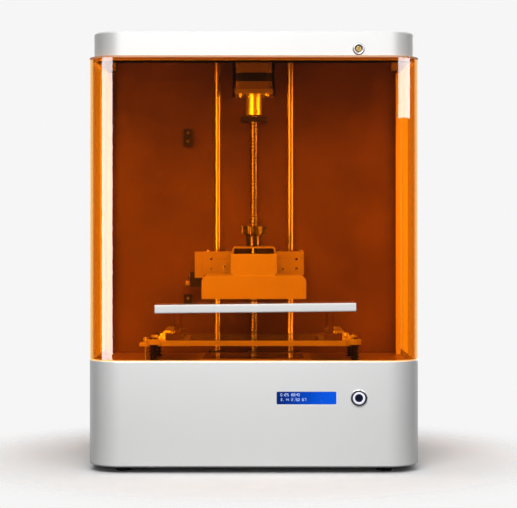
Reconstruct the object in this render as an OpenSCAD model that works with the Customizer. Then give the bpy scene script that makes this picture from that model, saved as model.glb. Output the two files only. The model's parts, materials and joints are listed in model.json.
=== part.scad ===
// Desktop resin printer: a projector in the base cures each layer through the clear film of
// the vat, and a lead screw lifts the platform away. Millimetres. +Z is up, the front faces
// -Y, and the origin is under the middle of the whole machine, on the surface it stands on.
// Depths are counted backwards from the front face of the base.

/* [Case] */
// Width of the base, and of the cover above it
case_w = 361; // [350:1:380]
// Depth of the base from front to back
case_d = 300; // [294:1:330]
// Height of the whole machine with its feet
case_h = 479; // [476:1:520]
// Height of the base casing
base_h = 115.2; // [112:0.1:130]
// Radius of the base's upright corners
corner_r = 37; // [30:0.5:42]
// Wall of the base casing and of the cap
wall = 2.5; // [2:0.1:3]
// Width of the bevel along the base's edges
bevel = 1.6; // [0.8:0.1:2.5]
// How far the deck lies below the base's rim
deck_drop = 5.5; // [4:0.1:8]
// Thickness of the deck
deck_t = 3; // [2:0.1:4]
// Width of the ledges that carry the deck, the bottom and the ceiling
ledge_w = 8; // [6:0.5:10]
// Height of a rubber foot
foot_h = 7; // [5:0.5:10]
// Diameter of a rubber foot
foot_d = 17; // [14:0.5:22]

/* [Cap and cabinet] */
// Height of the top cap
cap_h = 31.5; // [30:0.5:36]
// How far the cap stands inside the outline of the base
cap_inset = 5; // [4.8:0.1:6]
// Height of the ceiling above the cap's lower edge
ceiling_rise = 14.5; // [14:0.5:16]
// Sheet thickness of the rear cabinet, the back panel and the ceiling
sheet = 2; // [1.5:0.1:2.5]
// Depth at which the cabinet's sides begin
cabinet_at = 165; // [160:1:170]
// Depth of the inner back panel
panel_at = 190; // [188:1:196]
// Width of the inward flanges on the cabinet's front edges
flange_w = 5; // [4:0.5:8]
// Width of the motor's opening in the back panel
motor_gap_w = 49.4; // [46:0.2:56]
// Distance of the service panel from each side of the cabinet
service_in = 60.5; // [54:0.5:66]
// Height of the service panel's lower edge above the deck
service_rise = 40; // [30:1:60]
// Distance of the service panel's upper edge below the cap
service_drop = 30; // [20:1:50]
// Thickness of the service panel
panel_t = 1.5; // [1:0.1:2]
// Number of slits in each row of louvres
louvre_rows = 10; // [6:1:12]
// Width of a louvre slit
louvre_w = 44; // [30:1:50]

/* [Cover] */
// Thickness of the clear cover
cover_t = 3; // [2:0.1:3]
// Gap between the cover's lower edge and the base
cover_gap = 0.5; // [0.5:0.1:1.5]
// How far the cover overlaps the cap
cover_lap = 4.7; // [3:0.1:5.5]
// Depth of the cover's side panels
cover_d = 205; // [203:1:215]
// Depth of the cover's hinge axis
hinge_at = 195; // [193:1:203]
// Height of the hinge axis above the cap's lower edge
hinge_rise = 15.5; // [14.5:0.5:17]
// Radius of the ear round the hinge pin
ear_r = 12; // [10:0.5:12]
// Diameter of the hinge pins
hinge_pin_d = 8; // [6:0.5:10]

/* [Handle] */
// Length of the handle bar
handle_l = 215; // [160:1:240]
// Height of the handle bar
handle_h = 9; // [8:0.5:14]
// Thickness of the handle bar, front to back
handle_t = 8; // [6:0.5:10]
// How far the bar's front stands in front of the cover
handle_reach = 24; // [22:0.5:30]
// Height of the bar's middle above the ground
handle_z = 180; // [150:1:300]
// Tilt of the bar as it was screwed on, in degrees
handle_skew = 0.6; // [0:0.1:1]
// Diameter of the two standoffs
standoff_d = 7; // [6:0.5:8]

/* [Front panel] */
// Sideways place of the display
lcd_x = 56.8; // [50:0.1:60]
// Height of the display's middle
lcd_z = 81.9; // [70:0.1:86]
// Width of the display window
lcd_w = 64.5; // [60:0.1:66]
// Height of the display window
lcd_h = 13.8; // [12:0.1:16]
// Sideways place of the push-button and of the key lock
button_x = 113.5; // [112:0.1:118]
// Diameter of the button's bezel
bezel_d = 18.4; // [17.6:0.1:20]
// Diameter of the button's light ring
light_d = 12.4; // [11:0.1:13]
// Diameter of the button's moving cap
button_d = 8.8; // [8:0.1:9.4]
// How far the button travels
button_travel = 2; // [1:0.1:3]
// Height of the lock's middle above the cap's lower edge
lock_rise = 12; // [11.6:0.1:12.4]
// Diameter of the lock's ring
lock_d = 12.9; // [12:0.1:13.2]
// Diameter of the lock's turning plug
plug_d = 6; // [5:0.1:8]

/* [Vertical axis] */
// Depth of the lead screw's and the guide rods' axes
axis_at = 172; // [172:0.5:174]
// Diameter of a guide rod
rod_d = 8; // [7:0.5:10]
// Distance of each guide rod from the middle
rod_x = 43; // [41:0.5:45]
// Outer diameter of the lead screw's thread
screw_d = 10; // [9:0.5:12]
// Diameter of the screw's plain ends
journal_d = 8; // [7:0.5:8.5]
// Width of the square motor
motor_w = 42.3; // [40:0.1:43]
// Length of the motor's body
motor_l = 34; // [32:0.5:36]
// Diameter of the motor's shaft
shaft_d = 5; // [4:0.5:6]
// Thickness of the motor's bracket
bracket_t = 5.3; // [4:0.1:6]
// Diameter of the shaft coupling
coupling_d = 19; // [17:0.5:20]
// Length of the shaft coupling
coupling_l = 25.4; // [24:0.1:26]
// Height of the lower end stop above the deck
stop_rise = 50.3; // [49:0.1:52]
// Distance between the two end stops
stop_span = 196.2; // [192:0.1:200]
// Height of an end stop
stop_h = 19.8; // [18:0.1:22]
// Width of an end stop
stop_w = 10; // [8:0.5:12]
// Thickness of the bearing plates
bearing_plate_t = 5.9; // [5.5:0.1:7]
// Width of the bearing plates
bearing_plate_w = 30.7; // [28:0.1:34]

/* [Carriage] */
// Height of the carriage above the deck, as shown
carriage_lift = 93.7; // [92:0.1:100]
// Width of the carriage beam
beam_w = 116.8; // [112:0.2:120]
// Height of the carriage beam
beam_h = 27.3; // [26:0.1:30]
// Depth at which the carriage's front plate begins
beam_at = 150; // [150:0.5:152]
// Thickness of the front plate
front_plate_t = 8; // [6:0.5:8]
// Height of the front plate's seam above its lower edge
seam_rise = 18.3; // [17:0.1:19.5]
// Outer diameter of a linear bearing
bearing_d = 15; // [14:0.5:16]
// Length of a linear bearing
bearing_l = 24; // [20:0.5:26]

/* [Platform] */
// Width of the arm that reaches forward
arm_w = 48.8; // [46:0.2:52]
// Height of the arm's top above the beam's lower edge
arm_rise = 34.2; // [34:0.1:38]
// Sheet thickness of the arm
arm_t = 2; // [1.5:0.1:2.5]
// Depth of the arm's flanges below its top
arm_drop = 16; // [12:0.5:18]
// Depth of the platform's front face
platform_at = 58; // [54:0.5:60]
// Width of the build platform
platform_w = 116.6; // [100:0.2:124]
// Depth of the build platform, front to back
platform_d = 68; // [60:0.5:72]
// Height of the build platform
platform_h = 26.1; // [22:0.1:26.1]
// Radius of the platform's upper edges
platform_r = 7; // [3:0.5:10]
// Gap between the platform's top and the arm's flanges
hanger_gap = 1.8; // [1.5:0.1:3]
// Sheet thickness of the hanger
hanger_t = 1.3; // [1:0.1:1.5]
// Diameter of the clamping knob
knob_d = 28.4; // [24:0.2:34]
// Height of the clamping knob's ribbed rim
knob_h = 9.5; // [8:0.5:12]
// Diameter of the knob's stem
knob_stem_d = 17.2; // [14:0.2:20]
// Height of the knob's stem
knob_stem_h = 13.3; // [10:0.1:15]
// Diameter of the knob's stud
stud_d = 8; // [6:0.5:8]

/* [Vat] */
// Depth of the vat wall's front face
vat_at = 38; // [34:0.5:40]
// Width of the vat's clear wall, outside
vat_w = 176; // [166:0.5:180]
// Depth of the vat, front to back
vat_d = 108; // [100:0.5:109]
// Thickness of the clear wall
vat_wall_t = 6; // [4:0.5:6]
// Height of the clear wall
vat_wall_h = 27.8; // [20:0.1:29]
// How far the vat's base frame stands out beside the clear wall
frame_rim = 10; // [9:0.5:12]
// Thickness of the vat's base frame
frame_t = 7.8; // [6:0.1:9]
// Height of the carrier plate's top above the deck
carrier_rise = 24.5; // [23:0.1:26]
// Thickness of the carrier plate
carrier_t = 5.5; // [4:0.1:6]
// How far the carrier plate stands out beside the base frame
carrier_rim = 6; // [5:0.5:8]
// Distance of the guide posts from the carrier plate's side
post_out = 8; // [7.5:0.5:10]
// Diameter of a guide post
post_d = 7; // [6:0.5:8]
// Wire diameter of the springs
spring_wire = 1.2; // [0.8:0.1:1.5]
// Number of coils in a spring
spring_turns = 6; // [4:1:9]
// Distance of the levelling screw from the guide posts, sideways
level_out = 10.4; // [10:0.2:14]

/* [Inside the base] */
// Width of the projector
projector_w = 110; // [80:1:112]
// Length of the projector, front to back
projector_l = 112; // [90:1:130]
// Height of the projector
projector_h = 60; // [52:1:90]
// Depth of the projector's front
projector_at = 152; // [150:1:165]
// Outer diameter of the projector's lens tube
lens_d = 32; // [26:1:36]
// Width of the mirror
mirror_w = 80; // [60:1:90]
// Length of the mirror along its slope
mirror_l = 90; // [70:1:92]
// Width of the power supply
supply_w = 80; // [60:1:80]
// Length of the power supply, front to back
supply_l = 140; // [100:1:150]
// Height of the power supply
supply_h = 42; // [30:1:60]
// Width of the control board
board_w = 86; // [70:1:88]
// Length of the control board, front to back
board_l = 110; // [90:1:120]
// Width of the square cooling fan
fan_w = 60; // [50:1:62]
// Thickness of the cooling fan
fan_t = 15; // [10:1:20]
// Distance of the fan and the power inlet from the sides of the base
fitting_in = 67.5; // [62:0.5:72]
// Height of the fan's axle
fan_z = 60; // [50:1:66]
// Height of the sockets
socket_z = 45; // [34:1:80]

/* [Hidden] */
$fn = 48;

run = 0.05;     // radial clearance of a running fit
seat = 0.2;     // clearance round a seated piece
apart = 0.3;    // clearance between pieces that move past each other
cut = 1;        // how far a cut runs past the face it opens

// Colours
silver = [0.84, 0.85, 0.85];
steel = [0.72, 0.73, 0.75];
alu = [0.78, 0.78, 0.77];
black = [0.08, 0.08, 0.09];
orange = [0.95, 0.42, 0.05, 0.55];
clear = [0.85, 0.9, 0.92, 0.4];
white = [0.93, 0.93, 0.92];
board_green = [0.08, 0.32, 0.18];
brass = [0.8, 0.62, 0.28];

// Heights
front_y = handle_reach / 2 - case_d / 2;
floor_z = foot_h + wall;
base_top = foot_h + base_h;
deck_z = base_top - deck_drop;
cap_z = case_h - cap_h;
ceiling_z = cap_z + ceiling_rise;
hinge_z = cap_z + hinge_rise;
lock_z = cap_z + lock_rise;
cover_z = base_top + cover_gap;
cover_top = cap_z + cover_lap;

// Outline of the cap, shared by the cabinet under it
cap_w = case_w - 2 * cap_inset;
cap_back = case_d - cap_inset;
cap_r = corner_r - cap_inset;
ledge_t = 3;
rest_gap = 0.2;

// Vertical axis, from the ceiling down
motor_top = ceiling_z - 0.4;
motor_z = motor_top - motor_l;
bell_h = 9.2;
stator_h = 10.2;
bracket_z = motor_z - bracket_t;
coupling_z = bracket_z + 1.1 - coupling_l;
upper_plate_z = coupling_z - 1.7 - bearing_plate_t;
foot_plate_t = 3.5;
foot_plate_w = 23;
collar_t = 3;
bush_sink = 3.5;
bush_z = deck_z - deck_t - bush_sink;
bush_r = journal_d / 2 + 4;
bracket_leg = 22;
bracket_leg_t = 3;
leg_back = panel_at + sheet + bracket_leg_t;

// Carriage, from the deck up
beam_z = deck_z + carriage_lift;
beam_back = panel_at - 4;
block_at = beam_at + front_plate_t;
nut_body_r = screw_d / 2 + 3.5;
nut_flange_r = nut_body_r + 4.5;
nut_flange_t = 4;
arm_top = beam_z + arm_rise;
arm_at = platform_at + 4;
knob_at = platform_at + platform_d / 2;
knob_z = arm_top + apart;
platform_top = arm_top - arm_t - arm_drop - 14.2;
platform_z = platform_top - platform_h;
hanger_w = arm_w + 2 * hanger_t + 0.2;

// Vat and its carrier, from the deck up
carrier_z = deck_z + carrier_rise - carrier_t;
film_z = carrier_z + carrier_t;
film_t = 0.2;
frame_w = vat_w + 2 * frame_rim;
carrier_w = frame_w + 2 * carrier_rim;
post_x = carrier_w / 2 + post_out;
level_x = post_x + level_out;
frame_z = film_z + film_t;
frame_top = frame_z + frame_t;
vat_back = vat_at + vat_d;
vat_mid = vat_at + vat_d / 2;
window_w = vat_w - 2 * vat_wall_t - 4;
window_d = vat_d - 2 * vat_wall_t - 4;
post_at = [vat_at + 22, vat_back - 10];
post_top = film_z + 2.3;
rail_t = 3.5;
rail_d = 24;
spring_r = post_d / 2 + 0.7 + spring_wire / 2;
clamp_t = 2.2;
clamp_d = 84;
head_r = 3;

// Base fittings
glass_w = 112;
glass_d = 82;
glass_t = 3;
lens_z = floor_z + 38.5;
lens_r = lens_d / 2;
fan_x = fitting_in - case_w / 2;
inlet_x = case_w / 2 - fitting_in;
port_x = inlet_x - 44;
board_x0 = case_w / 2 - wall - 15 - board_w;
board_at = 120;
supply_x0 = 19 + wall - case_w / 2;
supply_at = 110;
foot_x = case_w / 2 - corner_r - 0.5;
foot_at = 30;
lcd_corner = 1.3;
board_t = 1.6;
board_z = floor_z + 8;
chips_z = board_z + board_t;

// Rounded rectangle with one corner at the origin
module round_rect(w, d, r) {
  translate([r, 0]) square([w - 2 * r, d]);
  translate([0, r]) square([w, d - 2 * r]);
  for (x = [r, w - r], y = [r, d - r]) translate([x, y]) circle(r);
}

// Outline seen from above, w wide, between two depths
module outline(w, d0, d1, r) {
  translate([-w / 2, front_y + d0]) round_rect(w, d1 - d0, r);
}

// Upright prism of such an outline
module slab(w, d0, d1, r, z, h) {
  translate([0, 0, z]) linear_extrude(h) outline(w, d0, d1, r);
}

// Block between two sideways places, two depths and two heights
module block(x0, x1, d0, d1, z0, z1) {
  translate([x0, front_y + d0, z0]) cube([x1 - x0, d1 - d0, z1 - z0]);
}

// Upright cylinder
module post(x, d, z, r, h) {
  translate([x, front_y + d, z]) cylinder(r = r, h = h);
}

// Cylinder that lies front to back, from depth d0 to d1
module peg(x, z, r, d0, d1) {
  translate([x, front_y + d1, z]) rotate([90, 0, 0]) cylinder(r = r, h = d1 - d0);
}

// Cylinder that lies sideways, from x0 to x1
module axle(x0, x1, d, z, r) {
  translate([x0, front_y + d, z]) rotate([0, 90, 0]) cylinder(r = r, h = x1 - x0);
}

// Prism of an outline drawn in X and Z, from depth d0 to d1
module front_prism(d0, d1) {
  translate([0, front_y + d1, 0]) rotate([90, 0, 0]) linear_extrude(d1 - d0) children();
}

module bevel_profile(w, h, b0, b1) {
  polygon([[-w / 2 + b0, 0], [w / 2 - b0, 0], [w / 2, b0], [w / 2, h - b1],
    [w / 2 - b1, h], [-w / 2 + b1, h], [-w / 2, h - b1], [-w / 2, b0]]);
}

// Slab with rounded upright corners and bevelled lower and upper edges
module bevelled_slab(w, d0, d1, r, z, h, b0, b1) {
  l = d1 - d0;
  translate([0, front_y + (d0 + d1) / 2, z]) {
    for (x = [-1, 1], y = [-1, 1]) translate([x * (w / 2 - r), y * (l / 2 - r), 0])
      rotate_extrude() polygon([[0, 0], [r - b0, 0], [r, b0], [r, h - b1], [r - b1, h], [0, h]]);
    translate([-(w / 2 - r), 0, 0]) rotate([90, 0, 90])
      linear_extrude(w - 2 * r) bevel_profile(l, h, b0, b1);
    translate([0, l / 2 - r, 0]) rotate([90, 0, 0])
      linear_extrude(l - 2 * r) bevel_profile(w, h, b0, b1);
  }
}

// Inside of the base casing, smaller by inset all round
module base_inside(inset, z, h) {
  slab(case_w - 2 * inset, inset, case_d - inset, corner_r - inset, z, h);
}

// Inside of the cap, smaller by inset all round
module cap_inside(inset, z, h) {
  slab(cap_w - 2 * inset, cap_inset + inset, cap_back - inset, cap_r - inset, z, h);
}

// ---- Base ----

module base_shell() color(silver) difference() {
  bevelled_slab(case_w, 0, case_d, corner_r, foot_h, base_h, bevel, bevel);
  base_inside(wall + ledge_w, foot_h - cut, base_h + 2 * cut);
  base_inside(wall, foot_h - cut, wall + cut);
  base_inside(wall, floor_z + ledge_t, deck_z - deck_t - 2 * ledge_t - floor_z);
  base_inside(wall, deck_z - deck_t, deck_drop + deck_t + cut);
  front_prism(-cut, wall + cut)
    translate([lcd_x - lcd_w / 2, lcd_z - lcd_h / 2]) round_rect(lcd_w, lcd_h, lcd_corner);
  peg(button_x, lcd_z, bezel_d / 2 - 1.2, -cut, wall + cut);
  for (i = [-3:3]) front_prism(case_d - wall - cut, case_d + cut)
    translate([fan_x + i * 8 - 2, fan_z - 22]) round_rect(4, 44, 1.9);
  block(inlet_x - 15, inlet_x + 15, case_d - wall - cut, case_d + cut,
    socket_z - 12, socket_z + 12);
  block(port_x - 7, port_x + 7, case_d - wall - cut, case_d + cut,
    socket_z - 6.5, socket_z + 6.5);
}

module bottom_plate() color(steel) difference() {
  base_inside(wall + rest_gap, foot_h, wall);
  for (x = [-1, 1], y = [foot_at, case_d - foot_at])
    post(x * foot_x, y, foot_h - cut, 2.1, wall + 2 * cut);
  for (x = [-1, 1], y = [9, case_d - 9])
    post(x * 110, y, foot_h - cut, 1.7, wall + 2 * cut);
  for (i = [-4:4]) block(i * 12 - 2, i * 12 + 2, case_d - 96, case_d - 56,
    foot_h - cut, floor_z + cut);
}

module foot() {
  rotate_extrude() polygon([[3.6, 0], [foot_d / 2 - 1.2, 0], [foot_d / 2, 1.2],
    [foot_d / 2, foot_h], [2.1, foot_h], [2.1, 3], [3.6, 3]]);
}

module rubber_feet() color(black)
  for (x = [-1, 1], y = [foot_at, case_d - foot_at])
    translate([x * foot_x, front_y + y, 0]) foot();

module case_screws() color(steel) {
  // through the feet and the bottom plate
  for (x = [-1, 1], y = [foot_at, case_d - foot_at]) {
    post(x * foot_x, y, 1.2, 3.3, 1.8);
    post(x * foot_x, y, 3, 1.95, floor_z - 1);
  }
  // round the edge of the bottom plate
  for (x = [-1, 1], y = [9, case_d - 9]) {
    post(x * 110, y, foot_h - 1.4, head_r, 1.4);
    post(x * 110, y, foot_h, 1.5, wall);
  }
  // down both sides of the service panel
  for (x = [-1, 1], z = [0:2]) peg(x * (service_w / 2 - 8), service_z0 + 8 + z * (service_h - 16) / 2, 2.6,
    cap_back + panel_t, cap_back + 1.5 + panel_t);
  // end stops, and the motor bracket's leg
  for (z = [stop_low_z, stop_high_z], u = [5, stop_h - 5])
    peg(stop_x, z + u, 1.8, stop_front + 0.2, stop_front + 1.4);
  for (x = [-14, 14], z = [6, 16])
    peg(x, bracket_z - z, 2.2, leg_back, leg_back + 1.8);
}

module deck_plate() color(alu) difference() {
  union() {
    base_inside(wall + rest_gap, deck_z - deck_t, deck_t);
    slab(glass_w + 16, vat_mid - glass_d / 2 - 8, vat_mid + glass_d / 2 + 8, 4, deck_z - 0.5, 4.5);
  }
  slab(glass_w - 8, vat_mid - glass_d / 2 + 4, vat_mid + glass_d / 2 - 4, 2,
    deck_z - deck_t - cut, deck_t + 6 + cut);
  slab(glass_w + 2 * seat, vat_mid - glass_d / 2 - seat, vat_mid + glass_d / 2 + seat, 2,
    deck_z + 4 - glass_t, glass_t + cut);
  post(-level_x, vat_mid, deck_z - deck_t - cut, 1.55, deck_t + 2 * cut);
  for (x = [-1, 1]) post(x * rod_x, axis_at, deck_z - deck_t - cut, rod_d / 2 + seat / 2,
    deck_t + 2 * cut);
  post(0, axis_at, deck_z - deck_t - cut, bush_r + seat / 2, deck_t + 2 * cut);
}

module projection_glass() color(clear)
  slab(glass_w, vat_mid - glass_d / 2, vat_mid + glass_d / 2, 1.8, deck_z + 4 - glass_t, glass_t);

module lcd_window() color([0.02, 0.16, 0.72])
  union() {
    front_prism(0.4, wall) translate([lcd_x - lcd_w / 2 + seat, lcd_z - lcd_h / 2 + seat])
      round_rect(lcd_w - 2 * seat, lcd_h - 2 * seat, lcd_corner - seat);
    block(lcd_x - lcd_w / 2 - 3, lcd_x + lcd_w / 2 + 3, wall, wall + 5.5, lcd_z - 12, lcd_z + 12);
  }

module circuit_boards() color(board_green) {
  // display board behind the window
  block(lcd_x - 40, lcd_x + 40, wall + 5.5, wall + 5.5 + board_t, lcd_z - 18, lcd_z + 18);
  for (x = [-1, 1], z = [-1, 1])
    peg(lcd_x + x * 37.5, lcd_z + z * 15.5, 2.4, wall, wall + 5.5);
  // control board on its standoffs
  difference() {
    block(board_x0, board_x0 + board_w, board_at, board_at + board_l, board_z, chips_z);
    for (x = [4, board_w - 4], y = [4, board_l - 4])
      post(board_x0 + x, board_at + y, board_z - cut, 1.6, board_t + 2 * cut);
  }
  for (x = [4, board_w - 4], y = [4, board_l - 4])
    post(board_x0 + x, board_at + y, floor_z, 3, board_z - floor_z);
  block(board_x0 + 12, board_x0 + 32, board_at + 20, board_at + 40, chips_z, chips_z + 2.4);
  block(board_x0 + 44, board_x0 + 58, board_at + 16, board_at + 30, chips_z, chips_z + 2.4);
  // a row of plug sockets, and the capacitors
  for (i = [0:3]) block(board_x0 + 12 + i * 17, board_x0 + 25 + i * 17, board_at + board_l - 20,
    board_at + board_l - 6, chips_z, chips_z + 8.4);
  for (i = [0:2]) post(board_x0 + board_w - 14, board_at + 20 + i * 12, chips_z, 4.5, 11);
}

module button_bezel() color(steel) {
  difference() {
    union() {
      translate([button_x, front_y, lcd_z]) rotate([90, 0, 0]) rotate_extrude()
        polygon([[light_d / 2 + seat / 2, 0], [bezel_d / 2, 0], [bezel_d / 2, 0.8],
          [bezel_d / 2 - 0.8, 1.6], [light_d / 2 + seat / 2, 1.6]]);
      peg(button_x, lcd_z, bezel_d / 2 - 1.2 - run, -0.5, light_back + 8);
    }
    peg(button_x, lcd_z, light_d / 2 + seat / 2, -3, light_back + 4);
  }
  difference() {
    peg(button_x, lcd_z, bezel_d / 2 + 1.5, wall, wall + 3);
    peg(button_x, lcd_z, bezel_d / 2 - 1.2, wall - cut, wall + 3 + cut);
  }
}

module button_light() color(white) difference() {
  peg(button_x, lcd_z, light_d / 2, -1.3, light_back);
  peg(button_x, lcd_z, button_d / 2, -3, light_back - 1);
}
button_back = 9;
light_back = button_back + button_travel + apart + 1;

module button_cap() color(black) peg(button_x, lcd_z, button_d / 2 - run, -1.1, button_back);

module projector() color(black) {
  difference() {
    block(-projector_w / 2, projector_w / 2, projector_at, projector_at + projector_l, floor_z,
      floor_z + projector_h);
    peg(0, lens_z, lens_r - 2, projector_at - cut, projector_at + 20);
  }
  difference() {
    peg(0, lens_z, lens_r, projector_at - 22, projector_at);
    peg(0, lens_z, lens_r - 2, projector_at - 22 - cut, projector_at + cut);
  }
  peg(0, lens_z, lens_r - 2 - 0.02, projector_at - 18, projector_at - 14);
}

module focus_ring() color([0.2, 0.2, 0.21]) difference() {
  peg(0, lens_z, lens_r + 4, projector_at - 16, projector_at - 6);
  peg(0, lens_z, lens_r + run, projector_at - 17, projector_at - 5);
  for (i = [0:23]) rotate_about_lens(i * 15) peg(0, lens_z + lens_r + 4.2, 0.8,
    projector_at - 17, projector_at - 5);
}

module rotate_about_lens(a) {
  translate([0, 0, lens_z]) rotate([0, a, 0]) translate([0, 0, -lens_z]) children();
}

module mirror_unit() color(alu) {
  translate([-mirror_w / 2, front_y + vat_mid, lens_z]) rotate([-45, 0, 0])
    translate([0, -mirror_l / 2, 0]) cube([mirror_w, mirror_l, 4]);
  for (x = [-mirror_w / 2 + 4, mirror_w / 2 - 8]) translate([x, front_y, 0])
    rotate([90, 0, 90]) linear_extrude(4)
    difference() {
      polygon([[vat_mid - 32, floor_z], [vat_mid + lens_z - floor_z + 1, floor_z],
        [vat_mid - 32, lens_z + 33]]);
      polygon([[vat_mid - 26, floor_z + 6], [vat_mid + 18, floor_z + 6],
        [vat_mid - 26, lens_z + 12]]);
    }
}

module power_supply() color(steel) {
  block(supply_x0, supply_x0 + supply_w, supply_at, supply_at + supply_l, floor_z,
    floor_z + supply_h);
  // terminal strip
  block(supply_x0 + 6, supply_x0 + supply_w - 6, supply_at - 10, supply_at, floor_z + 6,
    floor_z + 20);
}

module fan_frame() color(black) {
  back = case_d - wall;
  difference() {
    block(fan_x - fan_w / 2, fan_x + fan_w / 2, back - fan_t, back,
      fan_z - fan_w / 2, fan_z + fan_w / 2);
    peg(fan_x, fan_z, fan_w / 2 - 2, back - fan_t - cut, back + cut);
  }
  peg(fan_x, fan_z, 10, back - 2, back);
  peg(fan_x, fan_z, 1.5, back - fan_t + 1, back);
  for (a = [45, 135]) translate([fan_x, front_y + back, fan_z]) rotate([0, a, 0])
    translate([-fan_w / 2 + 1, -2, -1.5]) cube([fan_w - 2, 2, 3]);
}

module fan_rotor() color([0.14, 0.14, 0.15]) {
  back = case_d - wall;
  difference() {
    union() {
      peg(fan_x, fan_z, 11, back - fan_t + 1.5, back - 3);
      for (i = [0:6]) translate([fan_x, front_y + back - fan_t / 2 - 1, fan_z])
        rotate([0, i * 360 / 7, 0]) rotate([35, 0, 0])
          translate([9, -0.8, -5]) cube([17, 1.6, 10]);
    }
    peg(fan_x, fan_z, 1.5 + run, back - fan_t, back - 2);
  }
}

module rear_sockets() color(black) {
  back = case_d - wall;
  difference() {
    union() {
      block(inlet_x - 15 + seat, inlet_x + 15 - seat, back - 18, case_d - 0.4,
        socket_z - 12 + seat, socket_z + 12 - seat);
      block(inlet_x - 18, inlet_x + 18, back - 2, back, socket_z - 14, socket_z + 14);
    }
    block(inlet_x - 12, inlet_x + 12, back - 14, case_d + cut, socket_z - 8, socket_z + 8);
  }
  for (x = [-7, 0, 7]) block(inlet_x + x - 1, inlet_x + x + 1, back - 16, back - 2,
    socket_z - 2, socket_z + 2);
  difference() {
    union() {
      block(port_x - 7 + seat, port_x + 7 - seat, back - 14, case_d - 0.4,
        socket_z - 6.5 + seat, socket_z + 6.5 - seat);
      block(port_x - 9, port_x + 9, back - 2, back, socket_z - 8.5, socket_z + 8.5);
    }
    block(port_x - 4.5, port_x + 4.5, back - 10, case_d + cut, socket_z - 4, socket_z + 4);
  }
  block(port_x - 2.5, port_x + 2.5, back - 12, back - 2, socket_z - 1.5, socket_z + 1.5);
}

// ---- Rear cabinet, cap and lock ----

service_w = cap_w - 2 * service_in;
service_z0 = deck_z + service_rise;
service_h = cap_z - service_drop - service_z0;

module rear_cabinet() color(silver) difference() {
  union() {
    difference() {
      cap_inside(0, deck_z, cap_z - deck_z);
      cap_inside(sheet, deck_z - cut, cap_z - deck_z + 2 * cut);
    }
    for (x = [-1, 1]) block(x * (cap_w / 2 - sheet / 2) - (sheet / 2 + flange_w) * (x > 0 ? 1 : 0),
      x * (cap_w / 2 - sheet / 2) + (sheet / 2 + flange_w) * (x < 0 ? 1 : 0),
      cabinet_at, cabinet_at + sheet, deck_z, cap_z);
  }
  block(-case_w, case_w, -cut, cabinet_at, deck_z - cut, cap_z + cut);
  block(-service_w / 2 + 18, service_w / 2 - 18, cap_back - sheet - cut, cap_back + cut,
    service_z0 + 14, service_z0 + service_h - 14);
}

module back_panel() color(alu) difference() {
  block(-panel_w / 2, panel_w / 2, panel_at, panel_at + sheet, deck_z, ceiling_z);
  block(-motor_gap_w / 2, motor_gap_w / 2, panel_at - cut, panel_at + sheet + cut,
    bracket_z - 1.7, ceiling_z + cut);
  for (x = [-1, 1]) boss_room(x, panel_at - cut, panel_at + sheet + cut, boss_z - boss_gap,
    ceiling_z + cut);
}
panel_w = cap_w - 2 * wall - 2 * rest_gap;

module service_panel() color(silver) difference() {
  front_prism(cap_back, cap_back + panel_t)
    translate([-service_w / 2, service_z0]) round_rect(service_w, service_h, 4);
  for (i = [0:louvre_rows - 1], x = [-1, 1]) front_prism(cap_back - cut, cap_back + 2 + cut)
    translate([x * 40 - louvre_w / 2, service_z0 + 30 + i * 9]) round_rect(louvre_w, 3, 1.4);
}

module top_cap() color(silver) {
  difference() {
    bevelled_slab(cap_w, cap_inset, cap_back, cap_r, cap_z, cap_h, 0.6, bevel);
    cap_inside(wall, cap_z - cut, ceiling_rise + sheet + cut);
    cap_inside(wall + ledge_w - 2, cap_z - cut, ceiling_rise + sheet + ledge_t + 2 * cut);
    cap_inside(wall, ceiling_z + sheet + ledge_t, cap_h - ceiling_rise - sheet - ledge_t - wall);
    peg(button_x, lock_z, lock_body_r + run, cap_inset - cut, cap_inset + wall + cut);
    block(button_x - 13, button_x + 13, cap_inset + wall, cap_inset + wall + ledge_w,
      ceiling_z + sheet - cut, ceiling_z + sheet + ledge_t + cut);
    for (x = [-1, 1]) {
      axle(x * (cap_w / 2 - wall / 2) - wall / 2 - cut, x * (cap_w / 2 - wall / 2) + wall / 2 + cut,
        hinge_at, hinge_z, hinge_pin_d / 2 + run);
      boss_room(x, hinge_at - boss_d / 2 - boss_gap, hinge_at + boss_d / 2 + boss_gap,
        ceiling_z + sheet - cut, ceiling_z + sheet + ledge_t + cut);
    }
  }
  // bosses that hold the hinge pins, and the raised rings that space the cover off
  for (x = [-1, 1]) difference() {
    union() {
      block(x * boss_x - boss_w / 2, x * boss_x + boss_w / 2, hinge_at - boss_d / 2,
        hinge_at + boss_d / 2, boss_z, cap_z + cap_h - wall + 0.1);
      axle(x * cap_w / 2 - (x < 0 ? ring_t : 0.1), x * cap_w / 2 + (x > 0 ? ring_t : 0.1),
        hinge_at, hinge_z, ear_r - 3);
    }
    axle(x * cap_w / 2 - 2 * boss_w, x * cap_w / 2 + 2 * boss_w, hinge_at, hinge_z,
      hinge_pin_d / 2 + run);
  }
}
lock_body_r = 5;
ring_t = cap_inset - cover_t - apart;
boss_w = 8;
boss_d = 20;
boss_gap = 1;
boss_x = cap_w / 2 - wall - boss_w / 2 + 0.1;
boss_z = hinge_z - 10.5;

// Space that the panels leave round a hinge boss
module boss_room(x, d0, d1, z0, z1)
  block(x * boss_x - boss_w / 2 - boss_gap, x * boss_x + boss_w / 2 + boss_gap, d0, d1, z0, z1);

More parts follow.
